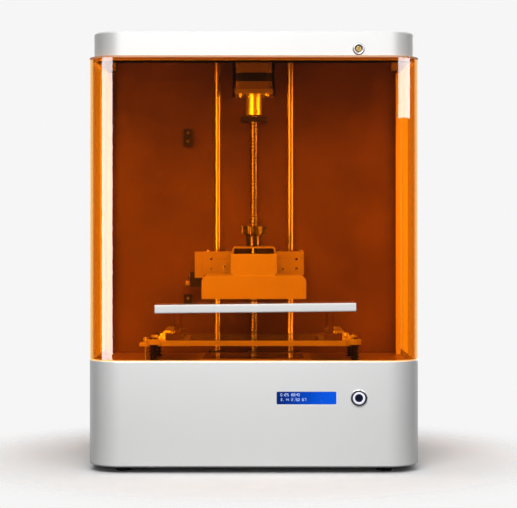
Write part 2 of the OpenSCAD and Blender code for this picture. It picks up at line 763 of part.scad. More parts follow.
module ceiling_plate() color(alu) difference() {
  cap_inside(wall + rest_gap, ceiling_z, sheet);
  block(button_x - 14, button_x + 14, 0, cap_inset + 34, ceiling_z - cut, ceiling_z + sheet + cut);
  for (x = [-1, 1]) boss_room(x, hinge_at - boss_d / 2 - boss_gap,
    hinge_at + boss_d / 2 + boss_gap, ceiling_z - cut, ceiling_z + sheet + cut);
  slab(40, panel_at + 20, panel_at + 44, 8, ceiling_z - cut, sheet + 2 * cut);
  for (x = [-1, 1]) post(x * rod_x, axis_at, ceiling_z - cut, rod_d / 2 + seat / 2,
    sheet + 2 * cut);
}

module lock_barrel() color(steel) difference() {
  union() {
    peg(button_x, lock_z, lock_body_r, cap_inset - 0.5, cap_inset + 22);
    translate([button_x, front_y + cap_inset, lock_z]) rotate([90, 0, 0]) rotate_extrude()
      polygon([[0, 0], [lock_d / 2, 0], [lock_d / 2, 0.7], [lock_d / 2 - 0.8, 1.4], [0, 1.4]]);
  }
  peg(button_x, lock_z, plug_d / 2 + run, cap_inset - 3, cap_inset + 22 + cut);
}

module lock_plug() color(brass) {
  difference() {
    peg(button_x, lock_z, plug_d / 2, cap_inset - 1.2, cap_inset + 24);
    translate([button_x, front_y + cap_inset - 1.2, lock_z]) rotate([0, 20, 0])
      translate([-0.5, -cut, -2.1]) cube([1, cut + 2, 4.2]);
  }
  difference() {
    front_prism(cap_inset + 22.4, cap_inset + 24)
      translate([button_x - 4, lock_z - 4]) round_rect(8, 17, 3.9);
    peg(button_x, lock_z, plug_d / 2 - 0.5, cap_inset + 20, cap_inset + 23);
  }
}

// ---- Cover ----

module cover() color(orange) difference() {
  union() {
    difference() {
      slab(case_w, 0, case_d, corner_r, cover_z, cover_top - cover_z);
      base_inside(cover_t, cover_z - cut, cover_top - cover_z + 2 * cut);
      block(-case_w, case_w, cover_d, case_d + cut, cover_z - cut, cover_top + cut);
    }
    for (x = [-case_w / 2, case_w / 2 - cover_t]) {
      axle(x, x + cover_t, hinge_at, hinge_z, ear_r);
      block(x, x + cover_t, hinge_at - ear_r, min(hinge_at + ear_r, cover_d), cover_top - cut,
        hinge_z);
    }
  }
  for (x = [-case_w / 2, case_w / 2 - cover_t])
    axle(x - cut, x + cover_t + cut, hinge_at, hinge_z, hinge_pin_d / 2 + run);
  handle_places() peg(0, 0, standoff_bolt_r + 0.2, -cut, cover_t + cut);
}

module hinge_pins() color(steel) for (x = [-1, 1]) {
  axle(x > 0 ? cap_w / 2 - wall - boss_w : -case_w / 2 - apart,
    x > 0 ? case_w / 2 + apart : -(cap_w / 2 - wall - boss_w), hinge_at, hinge_z,
    hinge_pin_d / 2);
  axle(x > 0 ? case_w / 2 + apart : -case_w / 2 - apart - 1.5,
    x > 0 ? case_w / 2 + apart + 1.5 : -case_w / 2 - apart, hinge_at, hinge_z, hinge_pin_d / 2 + 3);
}

module cover_bumpers() color(black) for (x = [-1, 1])
  axle(x > 0 ? cap_w / 2 : -cap_w / 2 - ring_t, x > 0 ? cap_w / 2 + ring_t : -cap_w / 2,
    cap_inset + cap_r + 4, cap_z + 3, 2.5);

standoff_bolt_r = 2;
standoff_x = handle_l / 2 - 22;

// Puts a piece, drawn round the origin, at each standoff of the tilted handle
module handle_places() translate([1.6, 0, handle_z]) rotate([0, -handle_skew, 0])
  for (x = [-1, 1]) translate([x * standoff_x, 0, 0]) children();

module handle_bar() color(white) translate([1.6, 0, handle_z]) rotate([0, -handle_skew, 0])
  difference() {
    front_prism(-handle_reach, handle_t - handle_reach)
      translate([-handle_l / 2, -handle_h / 2]) round_rect(handle_l, handle_h, 1.2);
    for (x = [-1, 1]) peg(x * standoff_x, 0, standoff_bolt_r + run,
      handle_t - handle_reach - 4, handle_t - handle_reach + cut);
  }

module handle_fixings() color(steel) handle_places() {
  difference() {
    peg(0, 0, standoff_d / 2, handle_t - handle_reach, 0);
    peg(0, 0, standoff_bolt_r + run, handle_t - handle_reach - cut, cut);
  }
  peg(0, 0, standoff_bolt_r, handle_t - handle_reach - 3.5, cover_t + 0.1);
  peg(0, 0, standoff_d / 2 + 0.5, cover_t, cover_t + 1.8);
}

// ---- Vertical axis ----

module guide_rods() color(steel) for (x = [-1, 1])
  post(x * rod_x, axis_at, deck_z - deck_t - collar_t, rod_d / 2,
    ceiling_z + sheet + deck_t + 2 * collar_t - deck_z);

// Square plate with a bore at the screw's depth
module bored_plate(x, w, d1, z, t, r) difference() {
  block(x - w / 2, x + w / 2, axis_at - foot_plate_w / 2, d1, z, z + t);
  post(x, axis_at, z - cut, r, t + 2 * cut);
}

// Bush that a journal of the screw turns in
module bush(z, h) difference() {
  post(0, axis_at, z, bush_r, h);
  post(0, axis_at, z - cut, journal_d / 2 + run, h + 2 * cut);
}

module z_brackets() color(alu) {
  foot_back = axis_at + foot_plate_w / 2;
  // foot plates of the rods on the deck, and the collars that clamp them at both ends
  for (x = [-rod_x, rod_x]) {
    bored_plate(x, foot_plate_w - 1, foot_back, deck_z, foot_plate_t, rod_d / 2 + 0.02);
    for (z = [deck_z - deck_t - collar_t, ceiling_z + sheet]) difference() {
      post(x, axis_at, z, rod_d / 2 + 5, collar_t);
      post(x, axis_at, z - cut, rod_d / 2 + 0.02, collar_t + 2 * cut);
    }
  }
  // lower bearing: a foot plate on the deck and a cup under it
  bored_plate(0, foot_plate_w, foot_back, deck_z, foot_plate_t, bush_r + 0.02);
  difference() {
    block(-bearing_plate_w / 2, bearing_plate_w / 2, axis_at - 13, axis_at + 13, bush_z - 1.5,
      deck_z - deck_t);
    post(0, axis_at, bush_z, bush_r + 0.02, bush_sink + cut);
  }
  bush(bush_z, bush_sink + deck_t + foot_plate_t);
  // upper bearing plate with its bush
  bored_plate(0, bearing_plate_w, panel_at, upper_plate_z, bearing_plate_t, bush_r + 0.02);
  bush(upper_plate_z, bearing_plate_t);
  // motor bracket: a shelf through the back panel and a leg down behind it
  difference() {
    union() {
      block(-22.5, 22.5, axis_at - motor_w / 2 - 0.5, leg_back, bracket_z, bracket_z + bracket_t);
      block(-22.5, 22.5, panel_at + sheet, leg_back, bracket_z - bracket_leg, bracket_z + cut);
    }
    post(0, axis_at, bracket_z - cut, coupling_d / 2 + 2, bracket_t + 2 * cut);
  }
}

// Square motor section with cut corners
module motor_section(z, h) translate([0, front_y + axis_at, z]) linear_extrude(h)
  intersection() {
    square(motor_w, center = true);
    rotate(45) square(motor_w * 1.26, center = true);
  }

module motor_bells() color(silver) {
  difference() {
    motor_section(motor_z, bell_h);
    post(0, axis_at, motor_z - cut, shaft_d / 2 + run, bell_h + 2 * cut);
  }
  difference() {
    motor_section(motor_z + bell_h + stator_h, motor_l - bell_h - stator_h);
    post(0, axis_at, motor_z + bell_h + stator_h - cut, shaft_d / 2 + run, 6 + cut);
  }
}

module motor_stator() color(black) difference() {
  motor_section(motor_z + bell_h, stator_h);
  post(0, axis_at, motor_z + bell_h - cut, 11.4, stator_h + 2 * cut);
}

module motor_rotor() color(steel) {
  post(0, axis_at, coupling_z + coupling_l / 2 + 1, shaft_d / 2,
    motor_z + bell_h + stator_h + 5 - coupling_z - coupling_l / 2 - 1);
  post(0, axis_at, motor_z + bell_h + 0.5, 11, stator_h - 1);
}

module shaft_coupling() color(alu) difference() {
  post(0, axis_at, coupling_z, coupling_d / 2, coupling_l);
  post(0, axis_at, coupling_z - cut, journal_d / 2 + 0.02, coupling_l / 2 + cut);
  post(0, axis_at, coupling_z, shaft_d / 2 + 0.02, coupling_l + cut);
  for (i = [0:3]) translate([0, front_y + axis_at, coupling_z + 6 + i * 4.2])
    rotate([0, 0, i * 90]) translate([-coupling_d, shaft_d / 2 + 1.6, 0])
      cube([2 * coupling_d, coupling_d, 1]);
}

module lead_screw() color(steel) {
  z0 = bush_z + rest_gap;
  z1 = deck_z + foot_plate_t + rest_gap;
  post(0, axis_at, z0, journal_d / 2, coupling_z + coupling_l / 2 - 0.5 - z0);
  post(0, axis_at, z1, screw_d / 2, upper_plate_z - rest_gap - z1);
}

stop_x = -78.2;
stop_front = panel_at - 8.6;
stop_low_z = deck_z + stop_rise;
stop_high_z = stop_low_z + stop_span;

module end_stops() color(black) for (z = [stop_low_z, stop_high_z]) difference() {
  block(stop_x - stop_w / 2, stop_x + stop_w / 2, stop_front, panel_at, z, z + stop_h);
  for (u = [5, stop_h - 5]) peg(stop_x, z + u, 2, stop_front - cut, stop_front + 1.4);
}

// ---- Carriage ----

module carriage_block() color(alu) difference() {
  block(-beam_w / 2, beam_w / 2, block_at, beam_back, beam_z, beam_z + beam_h);
  for (x = [-1, 1]) post(x * rod_x, axis_at, beam_z - cut, bearing_d / 2 + 0.02, beam_h + 2 * cut);
  post(0, axis_at, beam_z - cut, nut_body_r + 0.02, beam_h + 2 * cut);
}

module carriage_plate() color(alu) difference() {
  block(-beam_w / 2, beam_w / 2, beam_at, block_at, beam_z, beam_z + beam_h);
  block(-beam_w, beam_w, beam_at - cut, beam_at + 0.8, beam_z + seam_rise - 0.3,
    beam_z + seam_rise + 0.3);
}

module carriage_screws() color(black) {
  for (s = [[-49.7, 18.9], [-49.7, 7.6], [49.7, 18.9], [49.7, 7.6], [-34, 10.1], [-34, 4.6],
    [34, 7]]) peg(s[0], beam_z + s[1], 1.7, beam_at - 1.4, beam_at);
  for (x = [-53.6, -30.2, 31.6, 54.5]) post(x, axis_at - 6, beam_z + beam_h, 2.2, 2);
}

module linear_bearings() color(steel) for (x = [-1, 1]) difference() {
  post(x * rod_x, axis_at, beam_z + (beam_h - bearing_l) / 2, bearing_d / 2, bearing_l);
  post(x * rod_x, axis_at, beam_z - cut, rod_d / 2 + run, beam_h + 2 * cut);
}

module lead_nut() color(brass) difference() {
  union() {
    post(0, axis_at, beam_z - nut_flange_t, nut_flange_r, nut_flange_t);
    post(0, axis_at, beam_z - nut_flange_t, nut_body_r, beam_h);
  }
  post(0, axis_at, beam_z - nut_flange_t - cut, screw_d / 2 + run, beam_h + 2 * cut);
}

// Cross-section of the arm: a sheet channel with rounded upper corners
module arm_section() difference() {
  round_top(arm_w, arm_t + arm_drop, 4);
  translate([0, -arm_t]) round_top(arm_w - 2 * arm_t, arm_t + arm_drop, 4 - arm_t);
  translate([-arm_w, -arm_t - arm_drop - 4]) square([2 * arm_w, 4]);
}

// Rectangle that hangs from the X axis, centred, with its two upper corners rounded
module round_top(w, h, r) {
  translate([-w / 2, -h]) square([w, h - r]);
  translate([-w / 2 + r, -h]) square([w - 2 * r, h]);
  for (x = [-1, 1]) translate([x * (w / 2 - r), -r]) circle(r);
}

module platform_arm() color(alu) difference() {
  union() {
    front_prism(arm_at, beam_at) translate([0, arm_top]) arm_section();
    front_prism(beam_at - arm_t, beam_at) translate([0, arm_top])
      round_top(arm_w, arm_t + arm_drop, 4);
  }
  post(0, knob_at, arm_top - arm_t - cut, stud_d / 2 + apart, arm_t + 2 * cut);
}

hanger_base = platform_top + hanger_gap;

module hanger() color(alu) difference() {
  union() {
    block(-hanger_w / 2, hanger_w / 2, arm_at - 0.7 - hanger_t, arm_at - 0.7,
      hanger_base, arm_top - 8);
    for (x = [-1, 1]) block(x > 0 ? hanger_w / 2 - hanger_t : -hanger_w / 2,
      x > 0 ? hanger_w / 2 : -hanger_w / 2 + hanger_t, arm_at - 0.7 - hanger_t,
      platform_at + platform_d - 8, hanger_base, arm_top - 8);
    block(-hanger_w / 2 + 2, hanger_w / 2 - 2, arm_at - 0.7 - hanger_t,
      platform_at + platform_d - 8, platform_top, hanger_base);
    block(-hanger_w / 2, hanger_w / 2, arm_at - 0.7 - hanger_t,
      platform_at + platform_d - 8, hanger_base - 0.01, hanger_base + 1);
  }
  post(0, knob_at, platform_top - cut, stud_d / 2 + apart, 6);
}

module build_platform() color(alu) difference() {
  front_prism(platform_at, platform_at + platform_d) translate([0, platform_top])
    round_top(platform_w, platform_h, platform_r);
  post(0, knob_at, platform_top - 8, stud_d / 2 + run, 8 + cut);
}

module platform_knob() color(black) {
  difference() {
    union() {
      post(0, knob_at, knob_z, knob_stem_d / 2, knob_stem_h);
      post(0, knob_at, knob_z + knob_stem_h, knob_d / 2, knob_h);
    }
    for (i = [0:23]) translate([0, front_y + knob_at, 0]) rotate([0, 0, i * 15])
      translate([knob_d / 2 + 0.3, 0, knob_z + knob_stem_h + 1]) cylinder(r = 1.1, h = knob_h);
  }
  post(0, knob_at, platform_top - 7, stud_d / 2, knob_z + 1 - platform_top + 7);
}

// ---- Limit switch ----

switch_right = -beam_w / 2 - 1.8;
switch_left = switch_right - 14.4;
switch_z = beam_z - 14;
switch_h = 17.5;
lever_pin_at = block_at + 7;
lever_pin_z = beam_z - 0.9;
roller_at = stop_front - 3.4;
roller_z = beam_z - 10.4;

module switch_bracket() color(alu) {
  block(-beam_w / 2 - 1.6, -beam_w / 2, block_at - 1.6, block_at + 20, switch_z + switch_h + 0.3,
    beam_z + beam_h);
  block(-beam_w / 2 - 10.8, -beam_w / 2, block_at - 1.6, block_at, beam_z - 3.5,
    beam_z + beam_h);
}

module limit_switch() color(black) {
  block(switch_left, switch_right, block_at, block_at + 10, switch_z, switch_z + switch_h);
  axle(switch_left - 1.8, switch_left + 1, lever_pin_at, lever_pin_z, 1);
}

// The lever is a flat link from its hinge to the roller's pin
module switch_lever() color(steel) {
  dy = roller_at - lever_pin_at;
  dz = roller_z - lever_pin_z;
  reach = sqrt(dy * dy + dz * dz);
  difference() {
    translate([switch_left - 1.5, front_y + lever_pin_at, lever_pin_z])
      rotate([atan2(dz, dy), 0, 0]) {
        translate([0, 0, -2]) cube([1.2, reach, 4]);
        rotate([0, 90, 0]) cylinder(r = 2, h = 1.2);
        translate([0, reach, 0]) rotate([0, 90, 0]) cylinder(r = 2, h = 1.2);
      }
    axle(switch_left - 3, switch_left + 1, lever_pin_at, lever_pin_z, 1 + run);
  }
  axle(switch_left - 6.2, switch_left - 1, roller_at, roller_z, 1);
}

module switch_roller() color(white) difference() {
  axle(switch_left - 5.8, switch_left - 1.8, roller_at, roller_z, 3);
  axle(switch_left - 7, switch_left - 1, roller_at, roller_z, 1 + run);
}

// ---- Vat ----

module vat_wall() color(clear) difference() {
  slab(vat_w, vat_at, vat_back, vat_wall_t + 1, frame_top, vat_wall_h);
  slab(vat_w - 2 * vat_wall_t, vat_at + vat_wall_t, vat_back - vat_wall_t, 1,
    frame_top - cut, vat_wall_h + 2 * cut);
}

module vat_frame() color(alu) difference() {
  slab(frame_w, vat_at, vat_back, 4, frame_z, frame_t);
  slab(window_w, vat_mid - window_d / 2, vat_mid + window_d / 2, 3, frame_z - cut,
    frame_t + 2 * cut);
}

module vat_film() color(clear)
  slab(frame_w - 4, vat_at + 2, vat_back - 2, 2, film_z, film_t);

module vat_screws() color(steel) {
  for (x = [-1, 1], y = [vat_at + 5, vat_mid - 24, vat_mid + 24, vat_back - 5])
    post(x * (vat_w / 2 + 2), y, frame_top, 1.6, 1.2);
  for (x = [-1, 1], y = [vat_mid - 8, vat_mid + 8])
    post(x * clamp_screw_x, y, film_z + clamp_t, head_r, 3.2);
}
clamp_screw_x = frame_w / 2 + 6.6;

// A clamp is a sheet bent over the vat's frame and back out to its foot
module vat_clamps() color(alu) for (x = [-1, 1]) {
  inner = frame_w / 2 + rest_gap;
  mirror([x < 0 ? 1 : 0, 0, 0]) {
    block(inner, inner + clamp_t, vat_mid - clamp_d / 2, vat_mid + clamp_d / 2, film_z,
      frame_top + rest_gap + clamp_t);
    block(inner + 3.5 - frame_rim, inner + 0.1, vat_mid - clamp_d / 2, vat_mid + clamp_d / 2,
      frame_top + rest_gap, frame_top + rest_gap + clamp_t);
    block(inner + clamp_t - 0.1, clamp_screw_x + 3.6, vat_mid - 13, vat_mid + 13, film_z,
      film_z + clamp_t);
  }
}

module carrier_plate() color(alu) {
  difference() {
    union() {
      slab(carrier_w, vat_at - 2, vat_back + 6, 4, carrier_z, carrier_t);
      for (x = [-1, 1], y = post_at) {
        block(x > 0 ? carrier_w / 2 - 5 : -post_x, x > 0 ? post_x : -carrier_w / 2 + 5,
          y - 7.5, y + 7.5, carrier_z, carrier_t + carrier_z);
        post(x * post_x, y, carrier_z, 7.5, carrier_t);
      }
      for (x = [-1, 1]) block(x > 0 ? carrier_w / 2 - 5 : -clamp_screw_x - 4,
        x > 0 ? clamp_screw_x + 4 : -carrier_w / 2 + 5, vat_mid - 14, vat_mid + 14, carrier_z,
        carrier_z + carrier_t);
    }
    slab(window_w - 16, vat_mid - window_d / 2 + 6, vat_mid + window_d / 2 - 6, 3,
      carrier_z - cut, carrier_t + 2 * cut);
    for (x = [-1, 1], y = post_at)
      post(x * post_x, y, carrier_z - cut, post_d / 2 + run, carrier_t + 2 * cut);
  }
  // stiffening bars under the plate; the left one reaches out to the levelling screw
  difference() {
    union() {
      block(-level_x - 6.6, -window_w / 2 + 8, vat_mid - rail_d / 2, vat_mid + rail_d / 2,
        carrier_z - rail_t, carrier_z);
      block(window_w / 2 - 8, post_x + 4, vat_mid - rail_d / 2, vat_mid + rail_d / 2,
        carrier_z - rail_t, carrier_z);
    }
    post(-level_x, vat_mid, carrier_z - rail_t - cut, 1.5 + apart, rail_t + 2 * cut);
  }
}

// Posts with the retaining rings that stop the carrier's upward travel
module guide_posts() color(steel) for (x = [-1, 1], y = post_at) {
  post(x * post_x, y, deck_z, post_d / 2, post_top - deck_z);
  post(x * post_x, y, film_z + apart, post_d / 2 + 1.7, 1);
}

module carrier_springs() color(steel) {
  h = carrier_z - deck_z;
  for (x = [-1, 1], y = post_at) translate([x * post_x, front_y + y, deck_z])
    rotate_extrude() {
      translate([spring_r - 0.2, 0]) square([0.4, h]);
      for (i = [0:spring_turns])
        translate([spring_r, spring_wire / 2 + i * (h - spring_wire) / spring_turns])
          circle(spring_wire / 2, $fn = 24);
    }
}

module levelling_screw() color(steel) {
  post(-level_x, vat_mid, deck_z - deck_t, 1.5, carrier_z + apart - deck_z + deck_t);
  translate([-level_x, front_y + vat_mid, carrier_z + apart]) cylinder(r = 3.4, h = 6, $fn = 6);
}

base_shell();
bottom_plate();
rubber_feet();
case_screws();
deck_plate();
projection_glass();
lcd_window();
circuit_boards();
button_bezel();
button_light();
button_cap();
projector();
focus_ring();
mirror_unit();
power_supply();
fan_frame();
fan_rotor();
rear_sockets();
rear_cabinet();
back_panel();
service_panel();
top_cap();
ceiling_plate();
lock_barrel();
lock_plug();
hinge_pins();
cover_bumpers();
cover();
handle_bar();
handle_fixings();
guide_rods();
z_brackets();
motor_bells();
motor_stator();
motor_rotor();
shaft_coupling();
lead_screw();
end_stops();
carriage_block();
carriage_plate();
carriage_screws();
linear_bearings();
lead_nut();
platform_arm();
hanger();
build_platform();
platform_knob();
switch_bracket();
limit_switch();
switch_lever();
switch_roller();
vat_wall();
vat_frame();
vat_film();
vat_screws();
vat_clamps();
carrier_plate();
guide_posts();
carrier_springs();
levelling_screw();
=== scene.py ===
"""Looks of the desktop resin printer: finishes, detailed pieces, studio and camera.

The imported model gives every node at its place, in metres. This script dresses those nodes,
and models anew the ones whose surface needs more than the solids hold.
"""

import json
import logging
import math
from collections.abc import Callable, Iterable, Iterator
from contextlib import contextmanager
from dataclasses import dataclass, replace
from enum import Enum
from functools import cache
from typing import ClassVar

import bmesh
import bpy
from mathutils import Matrix, Vector

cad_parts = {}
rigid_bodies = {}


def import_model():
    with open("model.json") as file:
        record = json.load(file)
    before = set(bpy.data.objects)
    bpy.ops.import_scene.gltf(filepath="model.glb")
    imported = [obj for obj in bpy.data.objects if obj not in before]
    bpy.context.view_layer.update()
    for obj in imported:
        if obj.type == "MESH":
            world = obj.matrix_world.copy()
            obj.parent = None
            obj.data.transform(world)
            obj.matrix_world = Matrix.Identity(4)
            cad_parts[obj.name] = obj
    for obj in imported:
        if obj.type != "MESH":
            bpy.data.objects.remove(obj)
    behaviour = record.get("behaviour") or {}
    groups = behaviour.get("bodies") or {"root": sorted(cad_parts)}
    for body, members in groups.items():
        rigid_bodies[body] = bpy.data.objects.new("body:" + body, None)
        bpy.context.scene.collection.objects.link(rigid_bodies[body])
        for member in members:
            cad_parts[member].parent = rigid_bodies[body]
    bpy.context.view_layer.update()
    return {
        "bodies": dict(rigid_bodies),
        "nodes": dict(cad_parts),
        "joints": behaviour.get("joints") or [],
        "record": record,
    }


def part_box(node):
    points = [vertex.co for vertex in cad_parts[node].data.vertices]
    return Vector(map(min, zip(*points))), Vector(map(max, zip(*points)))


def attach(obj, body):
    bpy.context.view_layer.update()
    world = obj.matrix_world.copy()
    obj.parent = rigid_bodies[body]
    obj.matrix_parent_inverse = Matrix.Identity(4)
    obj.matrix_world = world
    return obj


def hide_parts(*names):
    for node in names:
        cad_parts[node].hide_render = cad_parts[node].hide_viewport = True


log = logging.getLogger("resin_printer")

Colour = tuple[float, float, float]
Place = tuple[float, float, float]
Point = tuple[float, float]
Test = Callable[[object], bool]
Socket = bpy.types.NodeSocket
MM = 0.001
WELD = 0.0005
FLAT = math.radians(0.5)


class Axis(Enum):
    """A direction, with the turn that lays an upright piece along it."""

    X = (0.0, math.radians(90), 0.0)
    Y = (math.radians(-90), 0.0, 0.0)
    Z = (0.0, 0.0, 0.0)

    @property
    def index(self) -> int:
        """The axis's number in a vector."""
        return "XYZ".index(self.name)

    @property
    def way(self) -> Vector:
        """The axis's unit vector."""
        return Vector([float(i == self.index) for i in range(3)])


class Part(Enum):
    """What an edit-mode selection holds."""

    VERT = "verts"
    EDGE = "edges"
    FACE = "faces"


class Drive(Enum):
    """The recess in a screw's head, by its number of sides."""

    HEX = 6
    CROSS = 4


# ---- shader groups


class Graph:
    """A node tree under construction, with short calls to add and link nodes."""

    def __init__(self, tree: bpy.types.NodeTree) -> None:
        """Keeps the tree that is being filled."""
        self.tree = tree

    def add(self, kind: str, **settings: object) -> bpy.types.Node:
        """Adds one node.

        Args:
            kind: The node's type without the ShaderNode prefix.
            settings: Properties to set on the node.

        Returns:
            The new node.
        """
        node = self.tree.nodes.new("ShaderNode" + kind)
        for name, value in settings.items():
            setattr(node, name, value)
        return node

    def feed(self, node: bpy.types.Node, **inputs: object) -> bpy.types.Node:
        """Sets or links a node's inputs.

        Args:
            node: The node whose inputs are fed.
            inputs: A socket to link or a value to set for each input. An input is given by its
                name, with underscores for spaces, or by i and its number.

        Returns:
            The same node.
        """
        for name, value in inputs.items():
            key = int(name[1:]) if name[1:].isdigit() else name.replace("_", " ")
            if isinstance(value, Socket):
                self.tree.links.new(value, node.inputs[key])
            else:
                node.inputs[key].default_value = value
        return node

    def math(self, operation: str, a: object, b: object = 0.0) -> Socket:
        """Adds a Math node and returns its result."""
        return self.feed(self.add("Math", operation=operation), i0=a, i1=b).outputs[0]

    def mix(self, factor: object, a: object, b: object) -> Socket:
        """Adds a colour Mix node and returns its result."""
        node = self.add("Mix", data_type="RGBA")
        return self.feed(node, i0=factor, i6=a, i7=b).outputs[2]

    def ramp(self, value: Socket, low: float, high: float) -> Socket:
        """Maps low..high of a value to 0..1, smoothly and clamped, and returns it."""
        node = self.add("MapRange", interpolation_type="SMOOTHSTEP")
        return self.feed(node, Value=value, From_Min=low, From_Max=high).outputs[0]

    def noise(self, vector: object, scale: object, detail: float = 3.0) -> Socket:
        """Adds a Noise texture of that scale and returns its factor."""
        node = self.add("TexNoise")
        return self.feed(node, Vector=vector, Scale=scale, Detail=detail).outputs["Fac"]

    def place(self) -> Socket:
        """Returns the place on the surface, in metres."""
        return self.add("TexCoord").outputs["Object"]

    def group(self, tree: bpy.types.NodeTree) -> bpy.types.Node:
        """Adds a node that holds a shared group."""
        node = self.tree.nodes.new("ShaderNodeGroup")
        node.node_tree = tree
        return node


def new_group(name: str, inputs: dict[str, object], outputs: dict[str, str]) -> Graph:
    """Makes a shader node group with named sockets and nothing in between.

    Args:
        name: The group's name.
        inputs: Each input's name with its default: a number, a colour, or None for a vector.
        outputs: Each output's name with its socket type.

    Returns:
        A graph that fills the group.
    """
    tree = bpy.data.node_groups.new(name, "ShaderNodeTree")
    kinds = {tuple: "NodeSocketColor", float: "NodeSocketFloat", type(None): "NodeSocketVector"}
    for key, default in inputs.items():
        socket = tree.interface.new_socket(key, in_out="INPUT", socket_type=kinds[type(default)])
        if default is not None:
            socket.default_value = (*default, 1.0) if isinstance(default, tuple) else default
    for key, kind in outputs.items():
        tree.interface.new_socket(key, in_out="OUTPUT", socket_type=kind)
    tree.nodes.new("NodeGroupInput").name = "in"
    tree.nodes.new("NodeGroupOutput").name = "out"
    return Graph(tree)


@cache
def surface_variation() -> bpy.types.NodeTree:
    """Builds the shared group that varies a surface's colour and roughness.

    Returns:
        A group that gives soft patches, fine speckle and scratches of wear over a base colour,
        and the roughness that goes with them.
    """
    g = new_group(
        "surface_variation",
        {"Place": None, "Colour": (0.5, 0.5, 0.5), "Roughness": 0.4, "Patches": 0.05,
         "Patch Scale": 9.0, "Speckle": 0.03, "Speckle Scale": 900.0, "Roughness Swing": 0.08,
         "Wear": 0.1, "Wear Colour": (0.6, 0.6, 0.6)},
        {"Colour": "NodeSocketColor", "Roughness": "NodeSocketFloat"})
    source = g.tree.nodes["in"].outputs
    patch = g.noise(source["Place"], source["Patch Scale"], 4.0)
    speckle = g.noise(source["Place"], source["Speckle Scale"], 2.0)
    scratch = g.add("TexNoise", noise_type="RIDGED_MULTIFRACTAL")
    g.feed(scratch, Vector=source["Place"], Scale=38.0, Detail=5.0)
    broad = g.math("SUBTRACT", patch, 0.5)
    fine = g.math("SUBTRACT", speckle, 0.5)
    swing = g.math("ADD", g.math("MULTIPLY", broad, g.math("MULTIPLY", source["Patches"], 3.0)),
                   g.math("MULTIPLY", fine, g.math("MULTIPLY", source["Speckle"], 3.0)))
    scaled = g.feed(g.add("VectorMath", operation="SCALE"), i0=source["Colour"],
                    Scale=g.math("ADD", swing, 1.0))
    worn = g.math("MULTIPLY", g.ramp(scratch.outputs["Fac"], 0.72, 1.3), source["Wear"])
    colour = g.mix(worn, scaled.outputs[0], source["Wear Colour"])
    uneven = g.math("MULTIPLY", g.math("ADD", broad, fine), source["Roughness Swing"])
    rough = g.math("MAXIMUM", g.math("ADD", source["Roughness"], uneven), 0.02)
    g.feed(g.tree.nodes["out"], Colour=colour, Roughness=rough)
    return g.tree


@cache
def surface_relief() -> bpy.types.NodeTree:
    """Builds the shared group that gives a surface its fine height.

    Returns:
        A group that mixes an even grain with brush lines, which a stretched place gives.
    """
    g = new_group(
        "surface_relief",
        {"Place": None, "Brush Place": None, "Grain": 0.5, "Grain Scale": 1500.0, "Brush": 0.0},
        {"Height": "NodeSocketFloat"})
    source = g.tree.nodes["in"].outputs
    grain = g.noise(source["Place"], source["Grain Scale"], 2.0)
    lines = g.noise(source["Brush Place"], 1.0, 3.0)
    height = g.math("ADD", g.math("MULTIPLY", grain, source["Grain"]),
                    g.math("MULTIPLY", lines, source["Brush"]))
    g.feed(g.tree.nodes["out"], Height=height)
    return g.tree


# ---- finishes


def new_material(name: str) -> tuple[bpy.types.Material, Graph]:
    """Makes a material that holds only its output node, named out.

    Args:
        name: The material's name.

    Returns:
        The material and a graph of its tree.
    """
    material = bpy.data.materials.new(name)
    material.use_nodes = True
    material.node_tree.nodes.clear()
    material.node_tree.nodes.new("ShaderNodeOutputMaterial").name = "out"
    return material, Graph(material.node_tree)


@dataclass(frozen=True)
class Finish:
    """An opaque finish: paint, metal, plastic or rubber.

    The brush lines run along one axis; a brush of None leaves an even grain.
    """

    name: str
    slot: str
    colour: Colour
    roughness: float = 0.4
    metallic: float = 0.0
    patches: float = 0.04
    patch_scale: float = 9.0
    speckle: float = 0.02
    speckle_scale: float = 900.0
    swing: float = 0.10
    wear: float = 0.05
    wear_colour: Colour = (0.62, 0.62, 0.62)
    grain: float = 0.4
    grain_scale: float = 1500.0
    brush: Axis | None = None
    brush_depth: float = 0.6
    bump: float = 0.12
    coat: float = 0.0

    def material(self) -> bpy.types.Material:
        """Builds the finish's material."""
        material, g = new_material(self.name)
        place = g.place()
        surface = g.group(surface_variation())
        g.feed(surface, Place=place, Colour=(*self.colour, 1.0), Roughness=self.roughness,
               Patches=self.patches, Patch_Scale=self.patch_scale, Speckle=self.speckle,
               Speckle_Scale=self.speckle_scale, Roughness_Swing=self.swing, Wear=self.wear,
               Wear_Colour=(*self.wear_colour, 1.0))
        stretch = [14.0 if self.brush and name == self.brush.name else 2600.0 for name in "XYZ"]
        mapping = g.feed(g.add("Mapping"), Vector=place, Scale=stretch)
        relief = g.group(surface_relief())
        g.feed(relief, Place=place, Brush_Place=mapping.outputs[0], Grain=self.grain,
               Grain_Scale=self.grain_scale, Brush=self.brush_depth if self.brush else 0.0)
        bump = g.feed(g.add("Bump"), Strength=self.bump, Distance=0.0002, Height=relief.outputs[0])
        shader = g.add("BsdfPrincipled")
        g.feed(shader, Base_Color=surface.outputs["Colour"], Roughness=surface.outputs["Roughness"],
               Metallic=self.metallic, Normal=bump.outputs[0], Coat_Weight=self.coat,
               Coat_Roughness=0.12)
        g.feed(material.node_tree.nodes["out"], Surface=shader.outputs[0])
        return material


